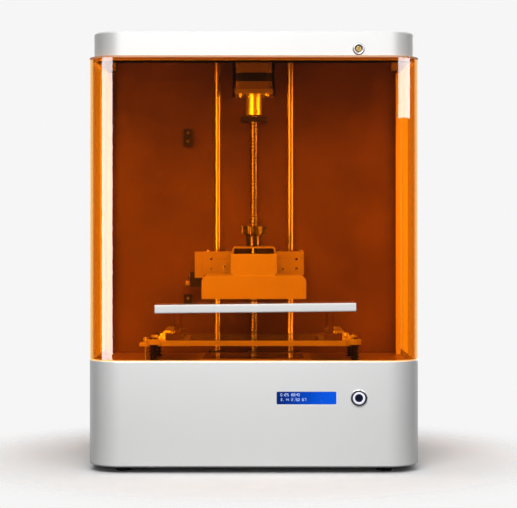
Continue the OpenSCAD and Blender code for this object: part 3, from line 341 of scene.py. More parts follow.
@dataclass(frozen=True)
class ClearFinish:
    """A clear finish that lets the lamps through: acrylic, glass or film."""

    name: str
    slot: str
    colour: Colour
    roughness: float = 0.02
    ior: float = 1.49
    swing: float = 0.02
    bump: float = 0.02
    painted_edge_light: float = 0.0
    painted_edge_colour: Colour = (1.0, 0.6, 0.1)

    def material(self) -> bpy.types.Material:
        """Builds the finish's material, with painted light: a glow on faces seen edge-on, for the
        bright edges of the tinted sheet.
        """
        material, g = new_material(self.name)
        place = g.place()
        haze = g.math("SUBTRACT", g.noise(place, 14.0, 4.0), 0.45)
        rough = g.math("ADD", g.math("MULTIPLY", haze, self.swing), self.roughness)
        ripple = g.feed(g.add("Bump"), Strength=self.bump, Distance=0.0004,
                        Height=g.noise(place, 22.0, 1.0))
        shader = g.add("BsdfPrincipled")
        g.feed(shader, Base_Color=(*self.colour, 1.0), Roughness=g.math("MAXIMUM", rough, 0.005),
               IOR=self.ior, Transmission_Weight=1.0, Normal=ripple.outputs[0])
        # Painted light: an emission on faces seen edge-on brightens the sheet's edges.
        if self.painted_edge_light:
            slant = g.ramp(g.add("LayerWeight").outputs["Facing"], 0.70, 0.92)
            g.feed(shader, Emission_Color=(*self.painted_edge_colour, 1.0),
                   Emission_Strength=g.math("MULTIPLY", slant, self.painted_edge_light))
        through = g.add("BsdfTransparent")
        g.feed(through, Color=(*(math.sqrt(c) for c in self.colour), 1.0))
        mixer = g.feed(g.add("MixShader"), i0=g.add("LightPath").outputs["Is Shadow Ray"],
                       i1=shader.outputs[0], i2=through.outputs[0])
        g.feed(material.node_tree.nodes["out"], Surface=mixer.outputs[0])
        return material


@dataclass(frozen=True)
class LitFinish:
    """A finish that glows, its colour running from one corner of a window to the other."""

    name: str
    slot: str
    colour: Colour
    dim: Colour
    bright: Colour
    strength: float = 1.0
    roughness: float = 0.25
    start: float = 0.0
    end: float = 0.1
    patches: float = 60.0

    def material(self) -> bpy.types.Material:
        """Builds the finish's material."""
        material, g = new_material(self.name)
        place = g.place()
        parts = g.feed(g.add("SeparateXYZ"), Vector=place)
        across = g.ramp(parts.outputs["X"], self.start, self.end)
        patch = g.math("MULTIPLY", g.noise(place, self.patches, 2.0), 0.3)
        fade = g.math("ADD", g.math("MULTIPLY", across, 0.85), patch)
        glow = g.mix(fade, (*self.dim, 1.0), (*self.bright, 1.0))
        shader = g.add("BsdfPrincipled")
        rough = g.math("ADD", patch, self.roughness)
        g.feed(shader, Base_Color=(*self.colour, 1.0), Roughness=rough, Emission_Color=glow,
               Emission_Strength=self.strength)
        g.feed(material.node_tree.nodes["out"], Surface=shader.outputs[0])
        return material


AnyFinish = Finish | ClearFinish | LitFinish

SILVER = Finish("silver_paint", "silver_paint", (0.78, 0.785, 0.78), 0.44, 0.35, patches=0.012,
                patch_scale=4.0, speckle_scale=2600.0, swing=0.05, wear=0.0, grain=0.7,
                grain_scale=3000.0, bump=0.05)
ALUMINIUM = Finish("machined_aluminium", "bare_aluminium", (0.66, 0.66, 0.66), 0.34, 1.0,
                   patches=0.05, wear=0.10, swing=0.16, brush=Axis.X, bump=0.10)
DRAWN = replace(ALUMINIUM, name="drawn_aluminium", wear=0.08, brush=Axis.Z)
BEAM = Finish("grey_aluminium", "bare_aluminium", (0.60, 0.55, 0.53), 0.42, 0.5, patches=0.08,
              wear=0.12, swing=0.16, brush=Axis.X, bump=0.10)
CAST = Finish("cast_alloy", "bare_aluminium", (0.34, 0.27, 0.25), 0.46, 0.3, patches=0.08,
              wear=0.10, grain=0.8, bump=0.15)
PLATE = Finish("bright_plate", "bare_aluminium", (0.80, 0.80, 0.79), 0.42, 0.6, patches=0.05,
               wear=0.06, swing=0.14, brush=Axis.X, bump=0.08)
PANEL = Finish("mottled_panel", "panel_metal", (0.18, 0.098, 0.08), 0.5, 0.3, patches=0.34,
               patch_scale=14.0, speckle=0.06, swing=0.22, wear=0.14,
               wear_colour=(0.24, 0.16, 0.13), bump=0.10)
DECK = replace(PANEL, name="pale_deck", colour=(0.38, 0.25, 0.205), roughness=0.4, patches=0.12,
               wear=0.12, wear_colour=(0.6, 0.42, 0.35))
BRIGHT_STEEL = Finish("bright_steel", "steel", (0.42, 0.42, 0.425), 0.16, 1.0)
STEEL = Finish("turned_steel", "steel", (0.56, 0.565, 0.57), 0.28, 1.0, wear=0.06)
CHROME = Finish("chrome", "chrome", (0.86, 0.86, 0.87), 0.16, 1.0, patches=0.02, wear=0.0,
                swing=0.05, bump=0.02)
BRASS = Finish("turned_brass", "brass", (0.72, 0.50, 0.18), 0.28, 1.0, patches=0.05, wear=0.1,
               wear_colour=(0.5, 0.33, 0.12))
BLACK_PLASTIC = Finish("black_plastic", "black_plastic", (0.025, 0.025, 0.028), 0.42,
                       patches=0.06, speckle=0.08, wear_colour=(0.09, 0.09, 0.09), grain=1.0,
                       bump=0.25)
BLACK_METAL = Finish("black_oxide", "black_metal", (0.03, 0.03, 0.033), 0.38, 0.6, patches=0.08,
                     wear=0.08, wear_colour=(0.14, 0.14, 0.14))
ANODISED = Finish("dark_anodised", "bare_aluminium", (0.085, 0.08, 0.078), 0.42, 0.75,
                  patches=0.08, wear=0.10, wear_colour=(0.3, 0.3, 0.3))
LAMINATION = Finish("stator_laminations", "black_metal", (0.05, 0.05, 0.053), 0.42, 0.8,
                    patches=0.08, wear=0.15, wear_colour=(0.2, 0.2, 0.2), brush=Axis.X,
                    brush_depth=1.5, bump=0.5)
RUBBER = Finish("black_rubber", "black_rubber", (0.018, 0.018, 0.019), 0.72, patches=0.08,
                wear=0.10, wear_colour=(0.06, 0.06, 0.06), grain=1.0, grain_scale=2200.0,
                bump=0.35)
GLOSS_BLACK = Finish("gloss_black", "black_plastic", (0.012, 0.012, 0.013), 0.2, patches=0.05,
                     wear_colour=(0.05, 0.05, 0.05), bump=0.05)
# Painted shade: a dull dark strip that stands for the shadow on the cap's lower band behind the
# cover's top.
PAINTED_SHADE = Finish("felt_seal", "black_rubber", (0.32, 0.26, 0.24), 0.9, patches=0.10, speckle=0.15,
              grain=1.0, grain_scale=2500.0, bump=0.4)
# Painted sheen and shade: an opaque pale band where the hood's top edge catches light and hides the
# cap behind.
SHEEN_AND_SHADE = Finish("frosted_edge", "orange_acrylic", (0.66, 0.33, 0.17), 0.55, patches=0.08,
                 speckle=0.06, grain=0.8, grain_scale=2600.0, bump=0.15)
WHITE = Finish("pale_handle", "white_handle", (0.82, 0.82, 0.82), 0.38, patches=0.02,
               wear=0.03, coat=0.2)
WHITE_PLASTIC = Finish("white_plastic", "white_plastic", (0.74, 0.74, 0.72), 0.45, patches=0.03)
BOARD = Finish("circuit_board", "board_green", (0.012, 0.11, 0.045), 0.35, patches=0.12, coat=0.3)
NAVY = Finish("button_navy", "button_navy", (0.006, 0.008, 0.03), 0.22, patches=0.05, coat=0.6)
# The orange hood gets painted light: an emission where the sheet is seen edge-on.
ORANGE = ClearFinish("orange_acrylic", "orange_acrylic", (0.955, 0.43, 0.035), painted_edge_light=0.38)
CLEAR = ClearFinish("clear_acrylic", "clear_acrylic", (0.97, 0.975, 0.975), 0.015, 1.06)
FILM = ClearFinish("clear_film", "film", (0.95, 0.96, 0.965), 0.03)
OPTIC = ClearFinish("optic_glass", "optic_glass", (0.90, 0.94, 0.95), 0.01, 1.52)
LIGHT_RING = LitFinish("light_ring", "light_ring", (0.7, 0.7, 0.76), (0.62, 0.6, 0.75),
                       (0.80, 0.78, 0.95), 0.55, start=0.105, end=0.122)
DISPLAY = LitFinish("display_blue", "display_blue", (0.0, 0.01, 0.06), (0.0, 0.0, 0.045),
                    (0.0, 0.085, 0.70), 1.0, 0.1, start=0.022, end=0.085)
DIGITS = LitFinish("display_digits", "display_blue", (0.3, 0.4, 0.6), (0.55, 0.72, 0.95),
                   (0.75, 0.88, 1.0), 0.75, 0.3, start=0.02, end=0.09)


# ---- modelling bench


@dataclass(frozen=True)
class Box:
    """The box that a solid fills, in millimetres."""

    low: Vector
    high: Vector

    @classmethod
    def of(cls, node: str) -> "Box":
        """Returns the box of a node."""
        return cls(*(Vector([place / MM for place in corner]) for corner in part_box(node)))

    @property
    def mid(self) -> Vector:
        """The middle of the box."""
        return (self.low + self.high) / 2

    @property
    def size(self) -> Vector:
        """The lengths of the box's sides."""
        return self.high - self.low


def solids_of(node: str) -> list[Box]:
    """Finds the separate solids of a node.

    Args:
        node: The node's name.

    Returns:
        The box of each solid, in millimetres, sorted by its middle.
    """
    mesh = bmesh.new()
    mesh.from_mesh(bpy.data.objects[node].data)
    bmesh.ops.remove_doubles(mesh, verts=mesh.verts, dist=1e-5)
    left = set(mesh.verts)
    boxes = []
    while left:
        group = []
        todo = [left.pop()]
        while todo:
            vertex = todo.pop()
            group.append(vertex.co / MM)
            near = [edge.other_vert(vertex) for edge in vertex.link_edges]
            fresh = [other for other in near if other in left]
            left.difference_update(fresh)
            todo.extend(fresh)
        boxes.append(Box(Vector([min(p[i] for p in group) for i in range(3)]),
                         Vector([max(p[i] for p in group) for i in range(3)])))
    mesh.free()
    return sorted(boxes, key=lambda b: (round(b.mid.z), round(b.mid.x), round(b.mid.y)))


def linked(name: str, data: bpy.types.ID) -> bpy.types.Object:
    """Makes an object that shows some data, and links it to the scene."""
    made = bpy.data.objects.new(name, data)
    bpy.context.scene.collection.objects.link(made)
    return made


def clear_selection() -> None:
    """Leaves edit mode and deselects everything."""
    if bpy.context.object and bpy.context.object.mode != "OBJECT":
        bpy.ops.object.mode_set(mode="OBJECT")
    bpy.ops.object.select_all(action="DESELECT")


def arc(centre: Point, radius: float, start: float, end: float, steps: int) -> list[Point]:
    """Returns the points of an arc, its angles given in degrees."""
    angles = [math.radians(start + (end - start) * i / steps) for i in range(steps + 1)]
    return [(centre[0] + radius * math.cos(a), centre[1] + radius * math.sin(a)) for a in angles]


class Bench:
    """One mesh piece on the bench: shaped in millimetres by edit-mode operators."""

    def __init__(self, name: str) -> None:
        """Takes the primitive that was just added as the piece to shape."""
        self.made = bpy.context.object
        self.made.name = name
        self.made.data.name = name

    # starts

    @classmethod
    def block(cls, name: str, low: Place, high: Place) -> "Bench":
        """Starts from a cube that fills the space between two corners."""
        low, high = Vector(low), Vector(high)
        clear_selection()
        bpy.ops.mesh.primitive_cube_add(size=1.0, location=(low + high) / 2)
        bench = cls(name)
        bench.made.scale = high - low
        return bench.applied()

    @classmethod
    def taken(cls, name: str, node: str) -> "Bench":
        """Starts from a copy of a node's solids, its loose triangles merged to whole faces."""
        clear_selection()
        bpy.context.view_layer.objects.active = linked(name, bpy.data.objects[node].data.copy())
        bench = cls(name)
        bench.made.scale = (1 / MM, 1 / MM, 1 / MM)
        bench.applied()
        with bench.editing():
            bpy.ops.mesh.remove_doubles(threshold=0.001)
            bpy.ops.mesh.dissolve_limited(angle_limit=FLAT)
        return bench

    @classmethod
    def drum(cls, name: str, axis: Axis, centre: Place, radius: float, start: float, end: float,
             sides: int = 48) -> "Bench":
        """Starts from a cylinder.

        Args:
            name: The piece's name.
            axis: The cylinder's direction.
            centre: A point on its axis; the coordinate along the axis is ignored.
            radius: Its radius.
            start: Where it begins along the axis.
            end: Where it ends along the axis.
            sides: Number of its sides.

        Returns:
            The piece.
        """
        middle = Vector(centre)
        middle[axis.index] = (start + end) / 2
        clear_selection()
        bpy.ops.mesh.primitive_cylinder_add(vertices=sides, radius=radius, depth=end - start,
                                            location=middle, rotation=axis.value)
        return cls(name).applied()

    @classmethod
    def chain(cls, name: str, points: list[Place], closed: bool = False) -> "Bench":
        """Starts from one vertex and extrudes it along a row of points.

        Args:
            name: The piece's name.
            points: The places of the vertices.
            closed: Whether the last vertex is joined to the first.

        Returns:
            The piece, a bare row of edges.
        """
        clear_selection()
        bpy.ops.mesh.primitive_plane_add(size=1.0)
        bench = cls(name)
        with bench.editing():
            bpy.ops.mesh.merge(type="CENTER")
            here = Vector(points[0])
            bpy.ops.transform.translate(value=here)
            for point in [*points[1:], points[0]] if closed else points[1:]:
                bpy.ops.mesh.extrude_vertices_move(
                    TRANSFORM_OT_translate={"value": Vector(point) - here})
                here = Vector(point)
            bpy.ops.mesh.select_all(action="SELECT")
            bpy.ops.mesh.remove_doubles(threshold=WELD)
        return bench

    @classmethod
    def turned(cls, name: str, axis: Axis, centre: Place, profile: list[Point], steps: int = 48,
               closed: bool = True) -> "Bench":
        """Turns a profile about an axis, as on a lathe.

        Args:
            name: The piece's name.
            axis: The lathe's axis.
            centre: A point on that axis; the coordinate along the axis is ignored.
            profile: Points as (radius, place along the axis).
            steps: Number of sides of the turned piece.
            closed: Whether the profile's last point is joined to its first.

        Returns:
            The piece.
        """
        centre = Vector(centre)
        centre[axis.index] = 0.0
        aside = Axis.Y.way if axis is Axis.X else Axis.X.way
        points = [centre + aside * radius + axis.way * along for radius, along in profile]
        bench = cls.chain(name, points, closed)
        with bench.editing():
            bpy.ops.mesh.spin(steps=steps, angle=math.tau, center=centre, axis=axis.way,
                              use_normal_flip=False, use_auto_merge=True)
            bpy.ops.mesh.select_all(action="SELECT")
            bpy.ops.mesh.remove_doubles(threshold=WELD)
            bpy.ops.mesh.delete_loose(use_verts=True, use_edges=True, use_faces=False)
        return bench.merged()

    @classmethod
    def prism(cls, name: str, axis: Axis, outline: list[Point], start: float,
              end: float) -> "Bench":
        """Fills a closed outline and extrudes it along an axis.

        Args:
            name: The piece's name.
            axis: The direction of the extrusion.
            outline: Points in the two other coordinates, in the order X, Y, Z.
            start: Where the prism begins along the axis.
            end: Where it ends along the axis.

        Returns:
            The piece.
        """
        index = axis.index
        points = [(*p[:index], start, *p[index:]) for p in outline]
        bench = cls.chain(name, points, closed=True)
        travel = axis.way * (end - start)
        with bench.editing():
            bpy.ops.mesh.edge_face_add()
            bpy.ops.mesh.extrude_region_move(TRANSFORM_OT_translate={"value": travel})
        return bench.merged()

    @classmethod
    def tube(cls, name: str, points: list[Place], radius: float, sides: int = 8) -> "Bench":
        """Sweeps a round wire along a row of points."""
        clear_selection()
        curve = bpy.data.curves.new(name, "CURVE")
        curve.dimensions = "3D"
        curve.bevel_depth = radius
        curve.bevel_resolution = max(0, sides // 4 - 1)
        curve.use_fill_caps = True
        spline = curve.splines.new("POLY")
        spline.points.add(len(points) - 1)
        for knot, point in zip(spline.points, points):
            knot.co = (*point, 1.0)
        wire = linked(name, curve)
        wire.select_set(True)
        bpy.context.view_layer.objects.active = wire
        bpy.ops.object.convert(target="MESH")
        return cls(name).merged()

    # edit mode

    def alone(self) -> bpy.types.Object:
        """Selects the piece's object alone, makes it the active one and returns it."""
        clear_selection()
        self.made.select_set(True)
        bpy.context.view_layer.objects.active = self.made
        return self.made

    @contextmanager
    def editing(self) -> Iterator[None]:
        """Opens the piece in edit mode with all of it selected, and closes it again."""
        self.alone()
        bpy.ops.object.mode_set(mode="EDIT")
        bpy.ops.mesh.select_mode(type="VERT")
        bpy.ops.mesh.select_all(action="SELECT")
        yield
        bpy.ops.object.mode_set(mode="OBJECT")

    def pick(self, kind: Part, test: Test) -> int:
        """Selects the vertices, edges or faces that pass a test, in edit mode.

        Args:
            kind: What is selected.
            test: Takes a bmesh vertex, edge or face and says whether it is wanted.

        Returns:
            How many were selected.
        """
        bpy.ops.mesh.select_mode(type=kind.name)
        bpy.ops.mesh.select_all(action="DESELECT")
        mesh = bmesh.from_edit_mesh(self.made.data)
        mesh.normal_update()
        wanted = [part for part in getattr(mesh, kind.value) if test(part)]
        for part in wanted:
            part.select_set(True)
        mesh.select_flush_mode()
        bmesh.update_edit_mesh(self.made.data)
        return len(wanted)

    def bevel(self, width: float, segments: int, test: Test) -> "Bench":
        """Bevels the edges that pass a test."""
        with self.editing():
            if self.pick(Part.EDGE, test):
                bpy.ops.mesh.bevel(offset=width, segments=segments, clamp_overlap=True)
        return self

    def inset(self, thickness: float, depth: float, test: Test) -> "Bench":
        """Insets the faces that pass a test and sinks or raises them."""
        with self.editing():
            if self.pick(Part.FACE, test):
                bpy.ops.mesh.inset(thickness=thickness, depth=0.0, use_even_offset=True)
                if depth:
                    bpy.ops.mesh.extrude_region_shrink_fatten(
                        TRANSFORM_OT_shrink_fatten={"value": depth, "use_even_offset": True})
        return self

    # whole-piece steps

    def applied(self) -> "Bench":
        """Applies the object's place, turn and scale to its mesh."""
        self.alone()
        bpy.ops.object.transform_apply(location=True, rotation=True, scale=True)
        return self

    def merged(self) -> "Bench":
        """Merges doubled vertices and turns all faces outwards."""
        with self.editing():
            bpy.ops.mesh.remove_doubles(threshold=WELD)
            bpy.ops.mesh.normals_make_consistent(inside=False)
        return self

    def modified(self, kind: str, **settings: object) -> "Bench":
        """Adds one modifier and applies it."""
        modifier = self.alone().modifiers.new(kind.lower(), kind)
        for name, value in settings.items():
            setattr(modifier, name, value)
        bpy.ops.object.modifier_apply(modifier=modifier.name)
        return self

    def softened(self, width: float = 0.4, segments: int = 2, angle: float = 35.0) -> "Bench":
        """Rounds every edge sharper than an angle in degrees."""
        return self.modified("BEVEL", width=width, segments=segments, limit_method="ANGLE",
                             angle_limit=math.radians(angle), use_clamp_overlap=True,
                             harden_normals=False)

    def cut(self, *tools: "Bench") -> "Bench":
        """Takes other pieces away from this one."""
        for tool in tools:
            self.modified("BOOLEAN", object=tool.made, operation="DIFFERENCE", solver="EXACT")
            bpy.data.objects.remove(tool.made)
        return self

    def fused(self, *others: "Bench") -> "Bench":
        """Makes one closed body of this piece and others that overlap it."""
        for other in others:
            self.modified("BOOLEAN", object=other.made, operation="UNION", solver="EXACT")
            bpy.data.objects.remove(other.made)
        return self

    def joined(self, *others: "Bench") -> "Bench":
        """Adds other pieces to this one as loose parts."""
        clear_selection()
        for other in (*others, self):
            other.made.select_set(True)
        bpy.context.view_layer.objects.active = self.made
        bpy.ops.object.join()
        return self

    def copied(self, offset: Place = (0.0, 0.0, 0.0)) -> "Bench":
        """Returns a copy with its own mesh, moved by an offset."""
        self.alone()
        bpy.ops.object.duplicate(linked=False)
        bpy.ops.transform.translate(value=offset)
        return Bench(self.made.name + "_copy").applied()

    def repeated(self, places: Iterable[Place]) -> "Bench":
        """Puts a copy at each place and joins them; the original, at the origin, goes."""
        name = self.made.name
        copies = [self.copied(place) for place in places]
        bpy.data.objects.remove(self.made)
        copies[0].made.name = name
        return copies[0].joined(*copies[1:])

    def mirrored(self) -> "Bench":
        """Adds the piece's mirror image on the machine's other side."""
        twin = self.copied()
        twin.made.scale = (-1.0, 1.0, 1.0)
        return self.joined(twin.applied().merged())

    def turned_by(self, angle: float, axis: Axis, centre: Place) -> "Bench":
        """Turns the piece by an angle in degrees about an axis through a point."""
        middle = Matrix.Translation(Vector(centre))
        turn = Matrix.Rotation(math.radians(angle), 4, axis.way)
        self.made.matrix_world = middle @ turn @ middle.inverted() @ self.made.matrix_world
        return self.applied()


class Workshop:
    """Dresses finished pieces and hands them to the bodies that they ride on."""

    @cache
    def material(self, finish: AnyFinish) -> bpy.types.Material:
        """Returns the material of a finish, built on first use."""
        return finish.material()

    def dress(self, target: bpy.types.Object, finish: AnyFinish) -> None:
        """Puts one finish on the whole of an object."""
        target.data.materials.clear()
        target.data.materials.append(self.material(finish))

    def hand_over(self, bench: Bench, finish: AnyFinish, body: str, *nodes: str,
                  smooth: float = 35.0) -> bpy.types.Object:
        """Finishes a piece: metres, normals, shading, finish, body and the nodes it stands for.

        Args:
            bench: The piece.
            finish: Its finish.
            body: The body that it rides on.
            nodes: The nodes that it replaces.
            smooth: Edges flatter than this angle, in degrees, are shaded smooth.

        Returns:
            The finished object.
        """
        piece = bench.merged().made
        piece.scale = (MM, MM, MM)
        bench.applied()
        bpy.ops.object.shade_smooth_by_angle(angle=math.radians(smooth))
        bench.modified("WEIGHTED_NORMAL", keep_sharp=True, weight=80)
        self.dress(piece, finish)
        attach(piece, body)
        if nodes:
            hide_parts(*nodes)
        log.info("%s: %d faces, %s, rides on %s", piece.name, len(piece.data.polygons),
                 finish.name, body)
        return piece

    def ease(self, name: str, node: str, finish: AnyFinish, body: str, *bevel: float) -> None:
        """Hands over a copy of a node's solids with its edges softened."""
        self.hand_over(Bench.taken(name, node).softened(*bevel), finish, body, node)


# ---- tests for edges and faces


def runs_along(axis: Axis, *extra: Test) -> Test:
    """Returns a test for edges that run along an axis and pass the extra tests."""
    return lambda edge: (
        abs((edge.verts[1].co - edge.verts[0].co).normalized()[axis.index]) > 0.999
        and all(more(edge) for more in extra))


def faces_to(axis: Axis, sign: int, *extra: Test) -> Test:
    """Returns a test for faces that look along an axis, up or down it, and pass the extra tests."""
    return lambda face: (face.normal[axis.index] * sign > 0.99
                         and all(more(face) for more in extra))


def at(axis: Axis, place: float, slack: float = 0.01) -> Test:
    """Returns a test for an edge or face that lies wholly at a place along an axis."""
    return lambda part: all(abs(v.co[axis.index] - place) < slack for v in part.verts)


class Assembly:
    """A sub-assembly, built in steps that hand their pieces over."""

    steps: ClassVar[tuple[Callable[["Assembly", Workshop], None], ...]]

    def build(self, shop: Workshop) -> None:
        """Takes the steps in order."""
        for step in self.steps:
            step(self, shop)


# ---- studio


@dataclass(frozen=True)
class Lamp:
    """An area lamp: its place, its aim, its two lengths in metres and its power in watts.

    A lamp with targets lights those pieces alone, as a card held up beside them does. One that
    stands for a streak on metal behind the cover is sampled as a lamp only, and a matt one shows
    in no gloss.
    """

    name: str
    spot: Place
    aim: Place
    wide: float
    high: float
    power: float
    targets: tuple[str, ...] = ()
    behind_cover: bool = False
    matt: bool = False

    def hang(self) -> None:
        """Hangs the lamp in the scene."""
        data = bpy.data.lights.new(self.name, "AREA")
        data.shape = "RECTANGLE"
        data.size = self.wide
        data.size_y = self.high
        data.energy = self.power
        lamp = linked(self.name, data)
        lamp.location = self.spot
        way = Vector(self.aim) - Vector(self.spot)
        lamp.rotation_euler = way.to_track_quat("-Z", "Y").to_euler()
        lamp.visible_camera = False
        lamp.visible_transmission = False
        lamp.visible_glossy = not self.matt
        data.cycles.use_multiple_importance_sampling = not self.behind_cover
        if self.targets:
            lit = bpy.data.collections.new(self.name + "_receivers")
            for target in self.targets:
                lit.objects.link(bpy.data.objects[target])
            lamp.light_linking.receiver_collection = lit


SHELLS = ("base_casing", "cap_casing", "cabinet_sheet", "service_cover")
BEHIND_COVER = ("ground_rods", "slit_coupling", "ball_screw", "shelf_screws", "plate_screws",
                "clamp_stud", "ribbed_knob", "vat_socket_screws", "post_rings", "adjuster",
                "bent_clamps")


@dataclass
class Studio:
    """Camera, lamps, surround and floor."""

    camera_back: float = 1.85
    camera_height: float = 0.2688
    width_at_front: float = 0.5584
    sensor: float = 36.0
    rise: float = -0.056
    aside: float = 0.0089
    backdrop: float = 0.921
    dark_front: float = 0.03
    sky: float = 0.25
    floor_shine: float = 0.30
    floor_tone: float = 0.90
    floor_radius: float = 1.6
    floor_fade: Point = (0.19, 0.40)
    backdrop_turn: Point = (0.35, 0.8)
    lamps: tuple[Lamp, ...] = (
        Lamp("key_softbox", (-0.2, -1.35, 1.12), (0.0, -0.05, 0.26), 0.9, 0.7, 15.0),
        Lamp("fill_softbox", (0.75, -1.35, 0.95), (0.0, -0.05, 0.26), 0.7, 0.7, 6.0),
        Lamp("front_softbox", (-0.1, -1.9, 0.35), (0.0, -0.1, 0.2), 1.2, 0.5, 4.5, matt=True),
        Lamp("top_softbox", (0.0, 0.25, 1.5), (0.0, 0.05, 0.3), 1.0, 0.7, 4.0),
        Lamp("base_card", (-0.07, -0.42, 0.46), (-0.05, -0.138, 0.06), 0.4, 0.15, 1.3,
             ("base_casing",)),
        Lamp("rear_softbox", (0.5, 1.7, 0.45), (0.0, 0.06, 0.25), 1.2, 0.8, 9.0, SHELLS),
        Lamp("left_card", (-0.367, -0.282, 0.288), (-0.155, -0.115, 0.288), 0.205, 0.42, 4.2,
             ("orange_cover",)),
        Lamp("right_card", (0.375, -0.211, 0.462), (0.155, -0.115, 0.462), 0.219, 0.125, 1.3,
             ("orange_cover",)),
        Lamp("left_streak", (-0.66, -1.08, 0.30), (0.0, 0.03, 0.30), 0.42, 0.75, 70.0,
             BEHIND_COVER, True),
        Lamp("right_streak", (1.08, -0.52, 0.30), (0.0, 0.03, 0.30), 0.34, 0.75, 46.0,
             BEHIND_COVER, True),
    )

    def camera(self) -> None:
        """Sets the camera level in front of the machine, shifted to frame it."""
        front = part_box("base_shell")[0].y
        data = bpy.data.cameras.new("camera")
        data.sensor_width = self.sensor
        data.lens = self.sensor * self.camera_back / self.width_at_front
        data.shift_x = self.aside
        data.shift_y = self.rise
        data.clip_end = 30.0
        camera = linked("camera", data)
        camera.location = (0.0, front - self.camera_back, self.camera_height)
        camera.rotation_euler = (math.radians(90), 0.0, 0.0)
        bpy.context.scene.camera = camera

    def surround(self) -> None:
        """Makes a surround that is pale to the eye and through glass, and dim as a light."""
        world = bpy.data.worlds.new("surround")
        world.use_nodes = True
        world.node_tree.nodes.clear()
        g = Graph(world.node_tree)
        path = g.add("LightPath")
        parts = g.feed(g.add("SeparateXYZ"), Vector=g.add("TexCoord").outputs["Generated"])
        behind = g.ramp(parts.outputs["Y"], *self.backdrop_turn)
        shown = g.math("MAXIMUM", path.outputs["Is Glossy Ray"],
                       path.outputs["Is Transmission Ray"])
        seen = g.math("MAXIMUM", path.outputs["Is Camera Ray"], g.math("MULTIPLY", shown, behind))
        above = g.math("MULTIPLY", g.ramp(parts.outputs["Z"], -0.1, 0.9), self.sky)
        level = g.feed(g.add("MapRange"), Value=g.math("MAXIMUM", above, seen),
                       To_Min=self.dark_front, To_Max=self.backdrop)
        glow = g.feed(g.add("Background"), Color=(1.0, 1.0, 1.0, 1.0), Strength=level.outputs[0])
        output = world.node_tree.nodes.new("ShaderNodeOutputWorld")
        g.feed(output, Surface=glow.outputs[0])
        bpy.context.scene.world = world

    def floor(self) -> None:
        """Lays a round pale floor that fades into the surround at its rim."""
        clear_selection()
        bpy.ops.mesh.primitive_circle_add(vertices=96, radius=self.floor_radius, fill_type="TRIFAN")
        floor = bpy.context.object
        floor.name = "studio_floor"
        material, g = new_material("studio_floor")
        reach = g.feed(g.add("VectorMath", operation="LENGTH"), i0=g.place())
        fade = g.ramp(reach.outputs["Value"], *self.floor_fade)
        seen = g.add("LightPath").outputs["Is Camera Ray"]
        tone = g.feed(g.add("MapRange"), Value=seen, To_Min=self.floor_shine,
                      To_Max=self.floor_tone)
        white = g.feed(g.add("BsdfDiffuse"), Color=tone.outputs[0])
        mixer = g.feed(g.add("MixShader"), i0=fade, i1=white.outputs[0],
                       i2=g.add("BsdfTransparent").outputs[0])
        g.feed(material.node_tree.nodes["out"], Surface=mixer.outputs[0])
        floor.data.materials.append(material)

    def build(self) -> None:
        """Builds the studio; the pieces that a card lights are already there."""
        self.camera()
        self.surround()
        for lamp in self.lamps:
            lamp.hang()
        self.floor()
        bpy.context.scene.view_settings.view_transform = "Standard"
        log.info("studio ready")


def rounded(low: Point, high: Point, radius: float, steps: int = 8) -> list[Point]:
    """Returns the outline of a rectangle with round corners.

    Args:
        low: Its lowest corner.
        high: Its highest corner.
        radius: The radius of its corners.
        steps: Number of edges in each corner.

    Returns:
        The outline's points, against the clock.
    """
    (x0, y0), (x1, y1) = low, high
    corners = (((x1 - radius, y1 - radius), 0), ((x0 + radius, y1 - radius), 90),
               ((x0 + radius, y0 + radius), 180), ((x1 - radius, y0 + radius), 270))
    return [point for centre, start in corners
            for point in arc(centre, radius, start, start + 90, steps)]


def screw_head(name: str, axis: Axis, spot: Place, radius: float, height: float, sign: int,
               drive: Drive = Drive.HEX, turn: float = 0.0) -> Bench:
    """Models one screw's head with its recess.

    Args:
        name: The piece's name.
        axis: The screw's direction.
        spot: The middle of the face that the head sits on.
        radius: The head's radius.
        height: The head's height.
        sign: 1 where the head looks up the axis, -1 where it looks down it.
        drive: The recess.
        turn: How far the recess is turned, in degrees.

    Returns:
        The head.
    """
    seat = spot[axis.index]
    top = seat + sign * height
    head = Bench.drum(name, axis, spot, radius, min(seat, top), max(seat, top), 28)
    head.bevel(0.18 * radius, 2, at(axis, top))
    deep = 0.55 * height
    if drive is Drive.HEX:
        tool = Bench.drum("recess", axis, spot, 0.5 * radius, top - deep, top + deep, 6)
        return head.cut(tool.turned_by(turn, axis, spot))
    half = Vector((0.62 * radius, 0.13 * radius, deep))
    for step in (0.0, 90.0):
        low = Vector(spot) - half
        high = Vector(spot) + half
        low[2], high[2] = spot[2] - deep, spot[2] + deep
        tool = Bench.block("recess", low, high)
        if axis is Axis.X:
            tool.turned_by(90.0, Axis.Y, spot)
        if axis is Axis.Y:
            tool.turned_by(90.0, Axis.X, spot)
        tool.turned_by(turn + step, axis, spot)
        tool.made.location[axis.index] += top - seat
        head.cut(tool.applied())
    return head


def front_band(name: str, box: Box, reach: float, thick: float, corner: float, ends: float,
               low: float, high: float, steps: int = 24) -> Bench:
    """Bends an upright strip round the front of a box and both its corners.

    Args:
        name: The strip's name.
        box: The box that it goes round.
        reach: How far its outer face stands out of the box; negative inside it.
        thick: Its thickness.
        corner: The radius of the box's upright corners.
        ends: Where its two ends stop, front to back.
        low: Its lower edge.
        high: Its upper edge.
        steps: Number of edges in each corner.

    Returns:
        The strip.
    """
    half, front = box.size.x / 2 - corner, box.low.y + corner
    outer, inner = corner + reach, corner + reach - thick
    outline = [(-half - outer, ends), *arc((-half, front), outer, 180, 270, steps),
               *arc((half, front), outer, 270, 360, steps), (half + outer, ends),
               (half + inner, ends), *arc((half, front), inner, 360, 270, steps),
               *arc((-half, front), inner, 270, 180, steps), (-half - inner, ends)]
    return Bench.prism(name, Axis.Z, outline, low, high)


